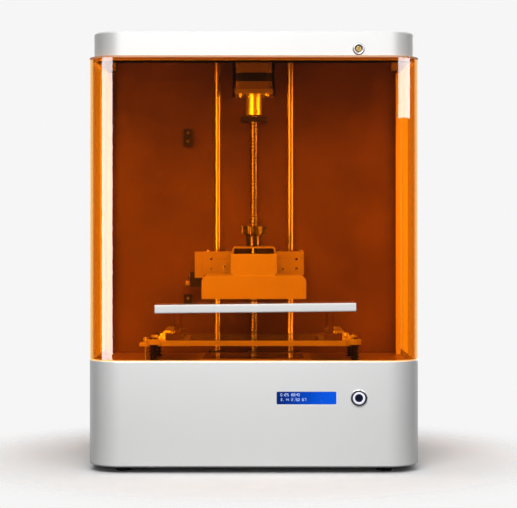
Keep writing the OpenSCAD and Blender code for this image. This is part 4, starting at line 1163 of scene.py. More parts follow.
@dataclass
class Hood(Assembly):
    """The orange hood: one bent sheet with two hinge ears, and its handle on two standoffs."""

    sheet: float = 3.0
    corner: float = 37.0
    corner_steps: int = 30
    hem: float = 205.0
    ear_radius: float = 12.0
    ear_root: float = 18.0
    pin_hole: float = 4.15
    bolt_hole: float = 2.2
    edge: float = 0.45
    ear_drop: float = 10.8
    handle_tilt: float = 0.6
    handle_middle: Point = (1.6, 180.0)
    handle_length: float = 215.0
    handle_height: float = 9.0
    handle_round: float = 1.6
    standoff_reach: float = 85.5
    standoff_radius: float = 3.5
    lap: float = 4.7
    lip_high: float = 2.1
    lip_thick: float = 0.14

    def cover(self) -> Bench:
        """Bends the sheet, adds the ears and drills the holes."""
        box = Box.of("cover")
        hinge = Box.of("hinge_pins").mid
        left, right, front = box.low.x, box.high.x, box.low.y
        back = front + self.hem
        top = hinge.z - self.ear_drop
        cover = front_band("orange_cover", box, 0.0, self.sheet, self.corner, back, box.low.z, top,
                           self.corner_steps)
        over = math.degrees(math.acos((back - hinge.y) / self.ear_radius))
        ear = [(hinge.y - self.ear_radius, top - self.ear_root),
               *arc((hinge.y, hinge.z), self.ear_radius, 180, -over, 40),
               (back, top - self.ear_root)]
        for x in (left, right - self.sheet):
            cover.fused(Bench.prism("ear", Axis.X, ear, x, x + self.sheet))
        cover.cut(Bench.drum("pin_holes", Axis.X, hinge, self.pin_hole, left - 5, right + 5))
        for spot in self.standoffs():
            cover.cut(Bench.drum("bolt_hole", Axis.Y, spot, self.bolt_hole, front - 5,
                                 front + 2 * self.sheet, 24))
        return cover.softened(self.edge)

    def standoffs(self) -> list[Place]:
        """Returns where the tilted handle's two standoffs meet the cover."""
        tilt = math.radians(self.handle_tilt)
        x, z = self.handle_middle
        return [(x + side * self.standoff_reach * math.cos(tilt), 0.0,
                 z + side * self.standoff_reach * math.sin(tilt)) for side in (-1, 1)]

    def handle(self) -> Bench:
        """Models the bar with rounded long edges and softened ends."""
        box = Box.of("handle_bar")
        x, z = self.handle_middle
        wide, high = self.handle_length / 2, self.handle_height / 2
        bar = Bench.block("handle_grip", (x - wide, box.low.y, z - high),
                          (x + wide, box.high.y, z + high))
        bar.bevel(self.handle_round, 4, runs_along(Axis.X)).softened(0.4)
        return bar.turned_by(-self.handle_tilt, Axis.Y, (x, 0.0, z))

    def fixings(self) -> Bench:
        """Turns a standoff with its collar, washer and inner screw, and sets one at each end."""
        box = Box.of("handle_fixings")
        front = Box.of("cover").low.y
        back = front + self.sheet
        bar = Box.of("handle_bar").high.y
        r = self.standoff_radius
        profile = [(0.0, bar - 1.0), (r, bar - 1.0), (r, bar), (r - 0.5, bar + 0.4),
                   (r - 0.5, front - 1.8), (r, front - 1.4), (r, front), (0.0, front)]
        pieces = []
        for x, _, z in self.standoffs():
            spot = (x, 0.0, z)
            standoff = Bench.turned("handle_standoffs", Axis.Y, spot, profile, 32)
            washer = Bench.drum("washer", Axis.Y, spot, 4.0, back, back + 0.7, 32).softened(0.15)
            head = screw_head("inner_screw", Axis.Y, (x, back + 0.7, z), 3.0,
                              box.high.y - back - 0.7, 1, turn=25.0)
            pieces += [standoff, washer, head]
        return pieces[0].joined(*pieces[1:])

    def lip(self) -> Bench:
        """Models a pale opaque band along the hood's upper edge: a painted sheen where the edge
        catches light, and painted shade over the cap behind.
        """
        top = Box.of("top_cap").low.z + self.lap
        return front_band("frosted_lip", Box.of("cover"), self.lip_thick, self.lip_thick - 0.02,
                          self.corner, Box.of("hinge_pins").mid.y - 30.0, top - self.lip_high,
                          top - 0.3)

    def build(self, shop: Workshop) -> None:
        """Builds and hands over the hood's pieces."""
        shop.hand_over(self.cover(), ORANGE, "cover", "cover", smooth=30.0)
        shop.hand_over(self.lip(), SHEEN_AND_SHADE, "cover")
        shop.hand_over(self.handle(), WHITE, "cover", "handle_bar")
        shop.hand_over(self.fixings(), STEEL, "cover", "handle_fixings")


@dataclass
class Controls(Assembly):
    """What a hand meets on the front: the display, the push-button and the key lock."""

    display_low: Point = (24.55, 75.0)
    display_high: Point = (89.05, 88.8)
    display_round: float = 1.3
    glyph: Point = (1.55, 2.55)
    glyph_pitch: Point = (2.35, 5.2)
    glyph_start: Point = (28.8, 84.1)
    strokes: float = 0.36
    lines: tuple[str, ...] = ("0125 8640", "3.14 2.50 67")
    bezel_radius: float = 9.2
    ring_radius: float = 6.2
    cap_radius: float = 4.35
    lock_radius: float = 6.45
    body_radius: float = 5.0
    plug_radius: float = 3.0
    slot: Point = (1.0, 4.3)
    slot_tilt: float = 20.0

    def window(self) -> Bench:
        """Models the display's window with softened edges, and the body behind it."""
        box = Box.of("lcd_window")
        outline = rounded(self.display_low, self.display_high, self.display_round, 8)
        glass = Bench.prism("display_window", Axis.Y, outline, box.low.y, box.low.y + 3.0)
        glass.softened(0.25, 3)
        low = (box.low.x, box.low.y + 2.2, box.low.z)
        back = Bench.block("display_back", low, tuple(box.high)).softened(0.5)
        return glass.joined(back)

    def digits(self) -> Bench:
        """Lays generic seven-segment digits, stroke by stroke, just under the window's face."""
        face = Box.of("lcd_window").low.y
        wide, high = self.glyph
        t = self.strokes
        bars = {"a": (0.5, 1.0, 0), "b": (1.0, 0.75, 1), "c": (1.0, 0.25, 1), "d": (0.5, 0.0, 0),
                "e": (0.0, 0.25, 1), "f": (0.0, 0.75, 1), "g": (0.5, 0.5, 0), "p": (0.5, 0.0, 2)}
        lit = {"0": "abcdef", "1": "bc", "2": "abged", "3": "abgcd", "4": "fgbc", "5": "afgcd",
               "6": "afgedc", "7": "abc", "8": "abcdefg", ".": "p", " ": ""}
        spots: dict[int, list[Place]] = {0: [], 1: [], 2: []}
        for row, text in enumerate(self.lines):
            for column, sign in enumerate(text):
                x = self.glyph_start[0] + column * self.glyph_pitch[0]
                z = self.glyph_start[1] - row * self.glyph_pitch[1]
                for bar in lit[sign]:
                    across, up, way = bars[bar]
                    spots[way].append((x + across * wide, 0.0, z + up * high))
        sizes = {0: (wide - 0.2, t), 1: (t, high / 2 - 0.15), 2: (t * 1.3, t * 1.3)}
        rows = []
        for way, places in spots.items():
            long, tall = (side / 2 for side in sizes[way])
            stroke = Bench.block("display_digits", (-long, face - 0.02, -tall),
                                 (long, face + 0.15, tall))
            stroke.bevel(0.12, 1, runs_along(Axis.Y))
            rows.append(stroke.repeated(places))
        return rows[0].joined(*rows[1:])

    def bezel(self) -> Bench:
        """Turns the push-button's bright ring with its chamfer and neck."""
        box = Box.of("button_bezel")
        face, back, r = box.low.y, box.high.y, self.bezel_radius
        wall = Box.of("base_shell").low.y
        inner = self.ring_radius + 0.1
        profile = [(inner, back - 2), (inner, face + 0.5), (inner + 0.35, face), (r - 1.1, face),
                   (r - 0.4, face + 0.25), (r, face + 0.8), (r, wall - 0.02), (8.0, wall - 0.02),
                   (8.0, back - 2)]
        return Bench.turned("button_collar", Axis.Y, box.mid, profile, 64)

    def light(self) -> Bench:
        """Turns the glowing ring, slightly domed."""
        box = Box.of("button_light")
        face = box.low.y
        r, inner = self.ring_radius, self.cap_radius + 0.15
        middle = (r + inner) / 2
        profile = [(inner, box.high.y), (inner, face + 0.3), (inner + 0.4, face + 0.05),
                   (middle, face), (r - 0.4, face + 0.05), (r, face + 0.35), (r, box.high.y)]
        return Bench.turned("button_ring", Axis.Y, box.mid, profile, 64)

    def cap(self) -> Bench:
        """Turns the push-button's dished cap."""
        box = Box.of("button_cap")
        face, r = box.low.y, self.cap_radius
        dish = [(r * k / 8, face + 0.35 * (1 - (k / 8) ** 2)) for k in range(7)]
        profile = [*dish, (r - 0.35, face), (r - 0.1, face + 0.1), (r, face + 0.4),
                   (r, box.high.y), (0.0, box.high.y)]
        return Bench.turned("button_face", Axis.Y, box.mid, profile, 48)

    def barrel(self) -> Bench:
        """Turns the lock's body and its ring with a rolled rim."""
        box = Box.of("lock_barrel")
        face, back, r, bore = box.low.y, box.high.y, self.lock_radius, self.plug_radius + 0.06
        wall = face + 1.4
        profile = [(bore, back), (bore, face + 1.0), (bore + 0.5, face + 0.5),
                   (r - 1.9, face + 0.1), (r - 1.5, face), (r - 0.8, face + 0.05),
                   (r - 0.25, face + 0.35), (r, face + 0.8), (r, wall),
                   (self.body_radius, wall), (self.body_radius, back)]
        return Bench.turned("lock_ring", Axis.Y, self.lock_middle(), profile, 56)

    def lock_middle(self) -> Place:
        """Returns a point on the lock's axis."""
        box = Box.of("lock_barrel")
        return (box.mid.x, 0.0, box.mid.z)

    def plug(self) -> Bench:
        """Turns the lock's plug, cuts its key slot, and adds the cam behind it."""
        box = Box.of("lock_plug")
        spot = self.lock_middle()
        r = self.plug_radius
        face, cam = box.low.y, box.high.y - 1.6
        profile = [(0.0, face), (r - 0.3, face), (r, face + 0.3), (r, cam), (0.0, cam)]
        plug = Bench.turned("lock_key_plug", Axis.Y, spot, profile, 40)
        wide, high = self.slot
        slot = Bench.block("key_slot", (spot[0] - wide / 2, face - 1, spot[2] - high / 2),
                           (spot[0] + wide / 2, face + 3.5, spot[2] + high / 2))
        notch = Bench.block("key_notch", (spot[0] - wide, face - 1, spot[2] + 0.15 * high),
                            (spot[0], face + 3.5, spot[2] + 0.3 * high))
        plug.cut(*(tool.turned_by(self.slot_tilt, Axis.Y, spot) for tool in (slot, notch)))
        outline = rounded(box.low.xz, box.high.xz, 3.9, 10)
        return plug.joined(Bench.prism("cam", Axis.Y, outline, cam, box.high.y).softened(0.2))

    def build(self, shop: Workshop) -> None:
        """Builds and hands over the controls."""
        shop.hand_over(self.window(), DISPLAY, "root", "lcd_window")
        shop.hand_over(self.digits(), DIGITS, "root")
        shop.hand_over(self.bezel(), CHROME, "root", "button_bezel", smooth=25.0)
        shop.hand_over(self.light(), LIGHT_RING, "root", "button_light", smooth=60.0)
        shop.hand_over(self.cap(), NAVY, "power_button", "button_cap", smooth=50.0)
        shop.hand_over(self.barrel(), STEEL, "root", "lock_barrel", smooth=50.0)
        shop.hand_over(self.plug(), BRASS, "key_plug", "lock_plug")


@dataclass
class DriveTrain(Assembly):
    """The upright axis: motor, coupling, ball screw, guide rods and what holds them."""

    body_round: float = 0.5
    bell_corner: float = 4.2
    stator_corner: float = 8.2
    bolt_circle: float = 15.5
    groove_height: float = 0.5
    groove_pitch: float = 2.0
    groove_depth: float = 0.9
    lead: float = 4.0
    screw_radius: float = 5.0
    journal_radius: float = 4.0
    groove_radius: float = 1.25
    thread_steps: int = 24
    foot_thick: float = 3.5
    foot_wide: float = 23.0
    foot_screw_at: float = 8.6
    bush_radius: float = 8.0
    collar_radius: float = 9.0
    shelf_thick: float = 5.3
    shelf_half: float = 22.5
    shelf_front: float = 21.65
    bearing_half: float = 15.35
    upper_drop: float = 7.6
    upper_thick: float = 5.9

    def __post_init__(self) -> None:
        """Finds the axis's depth and the rods' reach."""
        self.depth = Box.of("lead_screw").mid.y
        self.spot = (0.0, self.depth, 0.0)
        self.rod_x = Box.of("guide_rods").high.x - self.journal_radius
        self.deck = Box.of("back_panel").low.z

    def section(self, name: str, low: float, high: float, corner: float) -> Bench:
        """Models one slice of the motor: a square prism with cut corners."""
        half, y = Box.of("motor_bells").size.x / 2, self.depth
        *outline, first = rounded((-half, y - half), (half, y + half), corner, 1)
        return Bench.prism(name, Axis.Z, [first, *outline], low, high).softened(self.body_round, 3)

    def motor(self, shop: Workshop) -> None:
        """Builds the motor's bells, its stator and the screws under its shelf."""
        bells, stator = Box.of("motor_bells"), Box.of("motor_stator")
        lower = self.section("motor_housing", bells.low.z, stator.low.z, self.bell_corner)
        upper = self.section("upper_bell", stator.high.z, bells.high.z, self.bell_corner)
        lower.cut(Bench.drum("bore", Axis.Z, self.spot, 11.2, bells.low.z - 1, bells.low.z + 1.2))
        shop.hand_over(lower.joined(upper), CAST, "root", "motor_bells")
        core = self.section("motor_core", stator.low.z, stator.high.z, self.stator_corner)
        shop.hand_over(core, LAMINATION, "root", "motor_stator")
        head = screw_head("shelf_screws", Axis.Z, (0, 0, self.shelf_low()), 2.8, 2.2, -1)
        reach = self.bolt_circle
        spots = [(x, self.depth + y, 0.0) for x in (-reach, reach) for y in (-reach, reach)]
        shop.hand_over(head.repeated(spots), STEEL, "root")

    def shelf_low(self) -> float:
        """Returns the underside of the motor's shelf."""
        return Box.of("motor_bells").low.z - self.shelf_thick

    def coupling(self) -> Bench:
        """Turns the coupling with its four slits and drills the holes for its clamp screws."""
        box = Box.of("shaft_coupling")
        r, inner, chamfer = box.size.x / 2, self.journal_radius + 0.05, 0.6
        low, high = box.low.z, box.high.z
        profile = [(inner, low), (r - chamfer, low), (r, low + chamfer)]
        for i in range(4):
            z = (low + high) / 2 - 1.5 * self.groove_pitch + i * self.groove_pitch
            half, floor = self.groove_height / 2, r - self.groove_depth
            profile += [(r, z - half), (floor, z - half), (floor, z + half), (r, z + half)]
        profile += [(r, high - chamfer), (r - chamfer, high), (inner, high)]
        body = Bench.turned("slit_coupling", Axis.Z, self.spot, profile, 56)
        for z, turn in ((low + 4.5, 20.0), (high - 4.5, -35.0)):
            hole = Bench.drum("hole", Axis.Y, (0, 0, z), 1.7, self.depth - r - 1,
                              self.depth - r + 2.2, 24)
            body.cut(hole.turned_by(turn, Axis.Z, self.spot))
        return body

    def ball_screw(self) -> Bench:
        """Winds the screw's rounded groove and gives it its two journals."""
        box = Box.of("lead_screw")
        low, high = self.deck + self.foot_thick + 0.2, Box.of("shaft_coupling").low.z - 7.8
        r, half = self.screw_radius, self.lead / 2
        groove = arc((r + 0.35, 0.0), self.groove_radius, 253.0, 107.0, 8)
        chain = [(r, -half), (r, -half + 0.2), *groove, (r, half - 0.2), (r, half)]
        screw = Bench.chain("ball_screw", [(x, 0.0, z) for x, z in chain])
        turns = math.ceil((high - low) / self.lead) + 2
        screw.modified("SCREW", axis="Z", angle=math.tau, screw_offset=self.lead,
                       iterations=turns, steps=self.thread_steps,
                       render_steps=self.thread_steps, use_merge_vertices=True,
                       merge_threshold=0.001)
        screw.made.location = (0.0, self.depth, low - self.lead)
        screw.applied()
        for z, side in ((low, -1.0), (high, 1.0)):
            with screw.editing():
                bpy.ops.mesh.bisect(plane_co=(0.0, 0.0, z), plane_no=(0.0, 0.0, side),
                                    use_fill=False, clear_outer=True)
                screw.pick(Part.EDGE, lambda edge: edge.is_boundary
                           and abs(edge.verts[0].co.z - z) < 0.01)
                bpy.ops.mesh.edge_face_add()
        for start, end in ((box.low.z, low), (high, box.high.z)):
            screw.joined(Bench.drum("journal", Axis.Z, self.spot, self.journal_radius, start, end,
                                    40).softened(0.4))
        return screw

    def rods(self) -> Bench:
        """Turns the two ground rods with chamfered ends."""
        box = Box.of("guide_rods")
        rod = Bench.drum("ground_rods", Axis.Z, (-self.rod_x, self.depth, 0), self.journal_radius,
                         box.low.z, box.high.z, 64).softened(0.6)
        return rod.mirrored()

    def plate(self, x: float, wide: float, back: float, low: float, thick: float,
              bore: float) -> Bench:
        """Models a softened plate with a bore."""
        half = self.foot_wide / 2
        plate = Bench.block("plate", (x - wide / 2, self.depth - half, low),
                            (x + wide / 2, back, low + thick)).softened(0.5)
        return plate.cut(Bench.drum("bore", Axis.Z, (x, self.depth, 0), bore, low - 1,
                                    low + thick + 1))

    def ring(self, x: float, radius: float, bore: float, low: float, high: float) -> Bench:
        """Turns a ring with broken edges round the screw's or a rod's axis."""
        profile = [(bore, low), (radius - 0.4, low), (radius, low + 0.4), (radius, high - 0.4),
                   (radius - 0.4, high), (bore + 0.3, high), (bore, high - 0.3)]
        return Bench.turned("ring", Axis.Z, (x, self.depth, 0), profile, 40)

    def brackets(self, shop: Workshop) -> None:
        """Builds the feet, collars, bearings and the motor's shelf."""
        box = Box.of("z_brackets")
        deck_low = Box.of("deck_plate").low.z
        foot_back = self.depth + self.foot_wide / 2
        rod_bore, bush_bore = self.journal_radius + 0.05, self.bush_radius + 0.05
        feet = [self.plate(x, self.foot_wide - 1, foot_back, self.deck, self.foot_thick, rod_bore)
                for x in (-self.rod_x, self.rod_x)]
        feet.append(self.plate(0, self.foot_wide, foot_back, self.deck, self.foot_thick, bush_bore))
        step, top = self.foot_screw_at, self.deck + self.foot_thick
        for x in (-self.rod_x, self.rod_x, 0.0):
            for side in (-step, step):
                feet.append(screw_head("foot_screw", Axis.Z, (x + side, self.depth - step, top),
                                       1.8, 1.2, 1))
        feet[0].made.name = "axis_feet"
        shop.hand_over(feet[0].joined(*feet[1:]), ANODISED, "root", "z_brackets")
        panel = Box.of("back_panel").low.y
        upper_low = Box.of("shaft_coupling").low.z - self.upper_drop
        upper_high = upper_low + self.upper_thick
        upper = self.plate(0, 2 * self.bearing_half, panel, upper_low, self.upper_thick, bush_bore)
        upper.made.name = "upper_bearing"
        shop.hand_over(upper, ANODISED, "root", "z_brackets")
        cup_low = deck_low - 5.0
        cup = Bench.block("axis_bearings", (-self.bearing_half, self.depth - 13, cup_low),
                          (self.bearing_half, self.depth + 13, deck_low)).softened(0.5)
        cup.cut(Bench.drum("bore", Axis.Z, self.spot, bush_bore, cup_low + 1.5, deck_low + 1))
        rings = [cup, self.ring(0, self.bush_radius, rod_bore, cup_low + 1.5, top),
                 self.ring(0, self.bush_radius, rod_bore, upper_low, upper_high)]
        for x in (-self.rod_x, self.rod_x):
            for low in (deck_low - 3.0, box.high.z - 3.0):
                rings.append(self.ring(x, self.collar_radius, rod_bore, low, low + 3.0))
        shop.hand_over(rings[0].joined(*rings[1:]), STEEL, "root", "z_brackets")
        shelf_low, shelf_high = self.shelf_low(), Box.of("motor_bells").low.z
        half, back = self.shelf_half, box.high.y
        shelf = Bench.block("motor_shelf", (-half, self.depth - self.shelf_front, shelf_low),
                            (half, back, shelf_high))
        leg = Bench.block("leg", (-half, back - 3.0, shelf_low - 22.0),
                          (half, back, shelf_low + 1.0))
        shelf.fused(leg).cut(Bench.drum("clearance", Axis.Z, self.spot, 11.5,
                                        shelf_low - 1, shelf_high + 1))
        shop.hand_over(shelf.softened(0.5), BEAM, "root", "z_brackets")

    def build(self, shop: Workshop) -> None:
        """Builds and hands over the axis's pieces."""
        self.motor(shop)
        shop.hand_over(self.coupling(), DRAWN, "drive_screw", "shaft_coupling")
        shop.hand_over(self.ball_screw(), BRIGHT_STEEL, "drive_screw", "lead_screw", smooth=40.0)
        shop.hand_over(self.rods(), CHROME, "root", "guide_rods")
        self.brackets(shop)


@dataclass
class Carriage(Assembly):
    """The carriage: beam, seamed plate, bearings, nut, arm, hanger, platform and clamp knob."""

    machined_edge: float = 0.5
    sheet_edge: float = 0.28
    bore_slack: float = 0.05
    ribs: int = 24
    rib_depth: float = 1.0
    rim_edge: float = 0.6
    dish_rim: float = 3.4
    dish_depth: float = 0.9
    seal_depth: float = 0.7

    def beam(self, shop: Workshop) -> None:
        """Dresses the beam, its seamed front plate and all their screws."""
        shop.ease("carriage_beam", "carriage_block", BEAM, "carriage", self.machined_edge)
        shop.ease("seamed_plate", "carriage_plate", BEAM, "carriage", 0.35)
        heads = []
        for box in solids_of("carriage_screws"):
            level = 1.9 < box.size.z < 2.1
            axis, sign = (Axis.Z, 1) if level else (Axis.Y, -1)
            spot = box.mid
            spot[axis.index] = box.low.z if level else box.high.y
            height = box.size[axis.index]
            heads.append(screw_head("plate_screws", axis, spot, box.size.x / 2, height, sign,
                                    turn=7.0 * box.mid.x))
        shop.hand_over(heads[0].joined(*heads[1:]), CHROME, "carriage", "carriage_screws")

    def bearing(self, box: Box) -> Bench:
        """Turns one linear bearing: its sleeve, two ring grooves and its end seals."""
        r, low, high, seal = box.size.x / 2, box.low.z, box.high.z, self.seal_depth
        bore = Box.of("guide_rods").size.y / 2 + self.bore_slack
        profile = [(bore, low + seal), (r - 1.4, low + seal), (r - 1.0, low), (r - 0.3, low),
                   (r, low + 0.3)]
        for z in (low + 4.0, high - 4.0):
            profile += [(r, z - 0.55), (r - 0.5, z - 0.55), (r - 0.5, z + 0.55), (r, z + 0.55)]
        profile += [(r, high - 0.3), (r - 0.3, high), (r - 1.0, high), (r - 1.4, high - seal),
                    (bore, high - seal)]
        return Bench.turned("linear_sleeves", Axis.Z, box.mid, profile, 40)

    def moving_parts(self, shop: Workshop) -> None:
        """Builds the bearings and the flanged nut."""
        left, right = sorted(solids_of("linear_bearings"), key=lambda box: box.mid.x)
        shop.hand_over(self.bearing(left).joined(self.bearing(right)), STEEL, "carriage",
                       "linear_bearings")
        nut = Bench.taken("flanged_nut", "lead_nut").softened(0.3)
        box = Box.of("lead_nut")
        heads = [screw_head("nut_screw", Axis.Z, (box.mid.x + x, box.mid.y + y, box.low.z), 1.6,
                            1.2, -1) for x in (-7.4, 7.4) for y in (-7.4, 7.4)]
        shop.hand_over(nut.joined(*heads), BRASS, "carriage", "lead_nut")

    def platform(self, shop: Workshop) -> None:
        """Builds the arm's folded cover, the hanger and the machined platform."""
        shop.ease("folded_arm", "platform_arm", BEAM, "carriage", self.sheet_edge)
        shop.ease("folded_hanger", "hanger", PLATE, "carriage", self.sheet_edge)
        shop.ease("machined_platform", "build_platform", PLATE, "carriage", self.machined_edge, 3)

    def knob(self, shop: Workshop) -> None:
        """Builds the clamp knob: a ribbed rim with a dished top, its stem and its stud."""
        box = Box.of("platform_knob")
        x, y, r = box.mid.x, box.mid.y, box.size.x / 2
        pitch = 360.0 / self.ribs
        outline = []
        for i in range(self.ribs):
            for part, radius in ((-0.34, r), (-0.12, r), (0.12, r), (0.34, r - 0.15),
                                 (0.5, r - self.rib_depth)):
                angle = math.radians((i + part) * pitch)
                outline.append((x + radius * math.cos(angle), y + radius * math.sin(angle)))
        rim_low = box.high.z - 9.5
        rim = Bench.prism("ribbed_knob", Axis.Z, outline, rim_low, box.high.z)
        rim.softened(self.rim_edge, 3, 60.0)
        rim.inset(self.dish_rim, -self.dish_depth, faces_to(Axis.Z, 1, at(Axis.Z, box.high.z)))
        stem = [(0.0, rim_low - 13.2), (8.2, rim_low - 13.2), (8.6, rim_low - 12.8),
                (8.6, rim_low - 2.4), (9.6, rim_low - 0.8), (9.6, rim_low + 0.4),
                (0.0, rim_low + 0.4)]
        rim.joined(Bench.turned("stem", Axis.Z, (x, y, 0), stem, 48, closed=False))
        shop.hand_over(rim, GLOSS_BLACK, "clamp_knob", "platform_knob")
        stud = Bench.drum("clamp_stud", Axis.Z, (x, y, 0), 4.0, box.low.z, rim_low - 13.2, 32)
        shop.hand_over(stud.softened(0.6), STEEL, "clamp_knob", "platform_knob")

    steps = (beam, moving_parts, platform, knob)


@dataclass
class LimitSwitch(Assembly):
    """The micro switch on its bracket, its lever and roller, and the two end stops."""

    case_edge: float = 0.4
    seam: float = 0.35
    pin_radius: float = 1.4
    groove: float = 0.5

    def case(self, shop: Workshop) -> None:
        """Builds the switch's case with its seam, pins and the lever's pivot, and its bracket."""
        shop.ease("switch_sheet", "switch_bracket", BEAM, "carriage", 0.25)
        box = Box.of("limit_switch")
        right, left = box.high.x, box.low.x + 1.8
        case = Bench.block("micro_switch", (left, box.low.y, box.low.z),
                           (right, box.high.y, box.high.z))
        case.bevel(1.2, 3, runs_along(Axis.Y)).softened(self.case_edge)
        groove = Bench.block("seam", (left - 1, box.mid.y - self.seam / 2, box.low.z - 1),
                             (right + 1, box.mid.y + self.seam / 2, box.high.z + 1))
        core = Bench.block("core", (left + 0.5, box.low.y - 1, box.low.z + 0.5),
                           (right - 0.5, box.high.y + 1, box.high.z - 0.5))
        case.cut(groove.cut(core))
        for z in (box.low.z + 3.2, box.high.z - 3.2):
            case.joined(screw_head("pin", Axis.Y, ((left + right) / 2, box.low.y, z),
                                   self.pin_radius, 0.5, -1))
        lever = Box.of("switch_lever")
        pivot = Bench.drum("pivot", Axis.X, (0, lever.low.y + 2.0, lever.high.z - 2.0), 1.0,
                           box.low.x, left + 1.0, 20)
        shop.hand_over(case.joined(pivot), BLACK_PLASTIC, "carriage", "limit_switch")

    def roller(self, shop: Workshop) -> None:
        """Builds the lever and its grooved roller."""
        shop.ease("roller_lever", "switch_lever", STEEL, "lever", 0.12, 1)
        box = Box.of("switch_roller")
        r, low, high = box.size.z / 2, box.low.x, box.high.x
        bore = r - 1.9
        profile = [(bore, low), (r - 0.4, low), (r, low + 0.5), (r, low + 1.2),
                   (r - self.groove, low + 1.5), (r - self.groove, high - 1.5), (r, high - 1.2),
                   (r, high - 0.5), (r - 0.4, high), (bore, high)]
        wheel = Bench.turned("grooved_roller", Axis.X, box.mid, profile, 32)
        shop.hand_over(wheel, WHITE_PLASTIC, "roller", "switch_roller")

    def stops(self, shop: Workshop) -> None:
        """Builds the two end stops."""
        shop.ease("end_blocks", "end_stops", BLACK_PLASTIC, "root", self.case_edge)

    steps = (case, roller, stops)


@dataclass
class Vat(Assembly):
    """The vat and its sprung carrier, with the clamps, posts, springs and levelling screw."""

    corner: float = 7.0
    rim: float = 8.0
    gap: float = 0.05
    sheet: float = 2.2
    outer_bend: float = 2.2
    foot_round: float = 2.0
    coils: int = 6
    wire: float = 1.2
    coil_steps: int = 18
    nut_radius: float = 5.2
    nut_high: float = 1.0

    def frame(self, name: str, low: float, high: float) -> Bench:
        """Models the frame round the vat's window."""
        box, rim = Box.of("vat_frame"), self.rim
        side = Box.of("vat_wall").high.x - rim
        outer = rounded(box.low.xy, box.high.xy, self.corner)
        inner = rounded((-side, box.low.y + rim), (side, box.high.y - rim), self.corner - 3)
        layer = Bench.prism(name, Axis.Z, outer, low, high)
        return layer.cut(Bench.prism("window", Axis.Z, inner, low - 1, high + 1)).softened(0.4)

    def tray(self, shop: Workshop) -> None:
        """Builds the clear wall, its frame and the screws."""
        shop.ease("clear_wall", "vat_wall", CLEAR, "vat_carrier", 0.8, 3)
        box = Box.of("vat_frame")
        shop.hand_over(self.frame("clear_frame", box.low.z + self.gap, box.high.z - self.gap),
                       CLEAR, "vat_carrier", "vat_frame")
        heads = [screw_head("vat_socket_screws", Axis.Z, (*one.mid.xy, one.low.z),
                            one.size.x / 2, one.size.z, 1, turn=11.0 * one.mid.y)
                 for one in solids_of("vat_screws")]
        shop.hand_over(heads[0].joined(*heads[1:]), CHROME, "vat_carrier", "vat_screws")

    def clamps(self, shop: Workshop) -> None:
        """Bends the two clamps: an upright, a lip over the frame and a foot on the carrier."""
        box = Box.of("vat_clamps")
        frame = Box.of("vat_frame")
        inner, outer = frame.high.x + 0.2, frame.high.x + 0.2 + self.sheet
        lip, bend = box.high.z - self.sheet, self.outer_bend
        outline = [(inner, box.low.z), (outer, box.low.z), (outer, box.high.z - bend),
                   *arc((outer - bend, box.high.z - bend), bend, 0, 90, 6)[1:],
                   (frame.high.x - 6.3, box.high.z), (frame.high.x - 6.3, lip), (inner, lip)]
        clamp = Bench.prism("bent_clamps", Axis.Y, outline, box.low.y, box.high.y)
        foot_y = (box.low.y + box.high.y) / 2
        foot = Bench.block("foot", (outer - 1.0, foot_y - 13, box.low.z),
                           (box.high.x, foot_y + 13, box.low.z + self.sheet))
        foot.bevel(self.foot_round, 4, runs_along(Axis.Z, lambda edge: edge.verts[0].co.x > outer))
        clamp.fused(foot).softened(0.25)
        shop.hand_over(clamp.mirrored(), ALUMINIUM, "vat_carrier", "vat_clamps")

    def posts(self, shop: Workshop) -> None:
        """Builds the guide posts with their bright rings, and winds the springs round them."""
        post = solids_of("guide_posts")[0]
        spots = [(*one.mid.xy, 0.0) for one in solids_of("guide_posts")]
        low, high, r = post.low.z, post.high.z, 3.5
        shaft = Bench.drum("dark_posts", Axis.Z, (0, 0, 0), r, low, high, 36).softened(0.5)
        shop.hand_over(shaft.repeated(spots), BLACK_METAL, "root", "guide_posts")
        top = high - 1.0
        ring = [(r + 0.05, top - self.nut_high), (self.nut_radius - 0.3, top - self.nut_high),
                (self.nut_radius, top - self.nut_high + 0.3), (self.nut_radius, top - 0.3),
                (self.nut_radius - 0.3, top), (r + 0.05, top)]
        rings = Bench.turned("post_rings", Axis.Z, (0, 0, 0), ring, 40).repeated(spots)
        shop.hand_over(rings, CHROME, "root", "guide_posts")
        spring = solids_of("carrier_springs")[0]
        mean = (spring.size.x - self.wire) / 2
        start, end = spring.low.z + self.wire / 2, spring.high.z - self.wire / 2
        count = self.coils * self.coil_steps
        points = []
        for i in range(count + 1):
            share = i / count
            rise = min(max((share - 0.08) / 0.84, 0.0), 1.0)
            angle = math.tau * self.coils * share
            points.append((mean * math.cos(angle), mean * math.sin(angle),
                           start + (end - start) * rise))
        coil = Bench.tube("coil_springs", points, self.wire / 2)
        shop.hand_over(coil.repeated(spots), BLACK_METAL, "root", "carrier_springs", smooth=60.0)

    def carrier(self, shop: Workshop) -> None:
        """Builds the carrier plate and the levelling screw with its six-sided head."""
        shop.ease("sprung_carrier", "carrier_plate", PLATE, "vat_carrier", 0.45)
        box = Box.of("levelling_screw")
        head_low = box.high.z - 6.0
        head = Bench.drum("adjuster", Axis.Z, box.mid, box.size.x / 2, head_low, box.high.z, 6)
        head.softened(0.5, 3).inset(1.1, -2.4, faces_to(Axis.Z, 1, at(Axis.Z, box.high.z)))
        shank = [(0.0, box.low.z), (1.1, box.low.z), (1.5, box.low.z + 0.4)]
        z = box.low.z + 1.0
        while z < head_low - 0.6:
            shank += [(1.5, z), (1.2, z + 0.35), (1.5, z + 0.7)]
            z += 0.9
        shank += [(1.5, head_low + 0.2), (0.0, head_low + 0.2)]
        head.joined(Bench.turned("shank", Axis.Z, box.mid, shank, 20, closed=False))
        shop.hand_over(head, STEEL, "leveller", "levelling_screw")

    steps = (tray, clamps, posts, carrier)


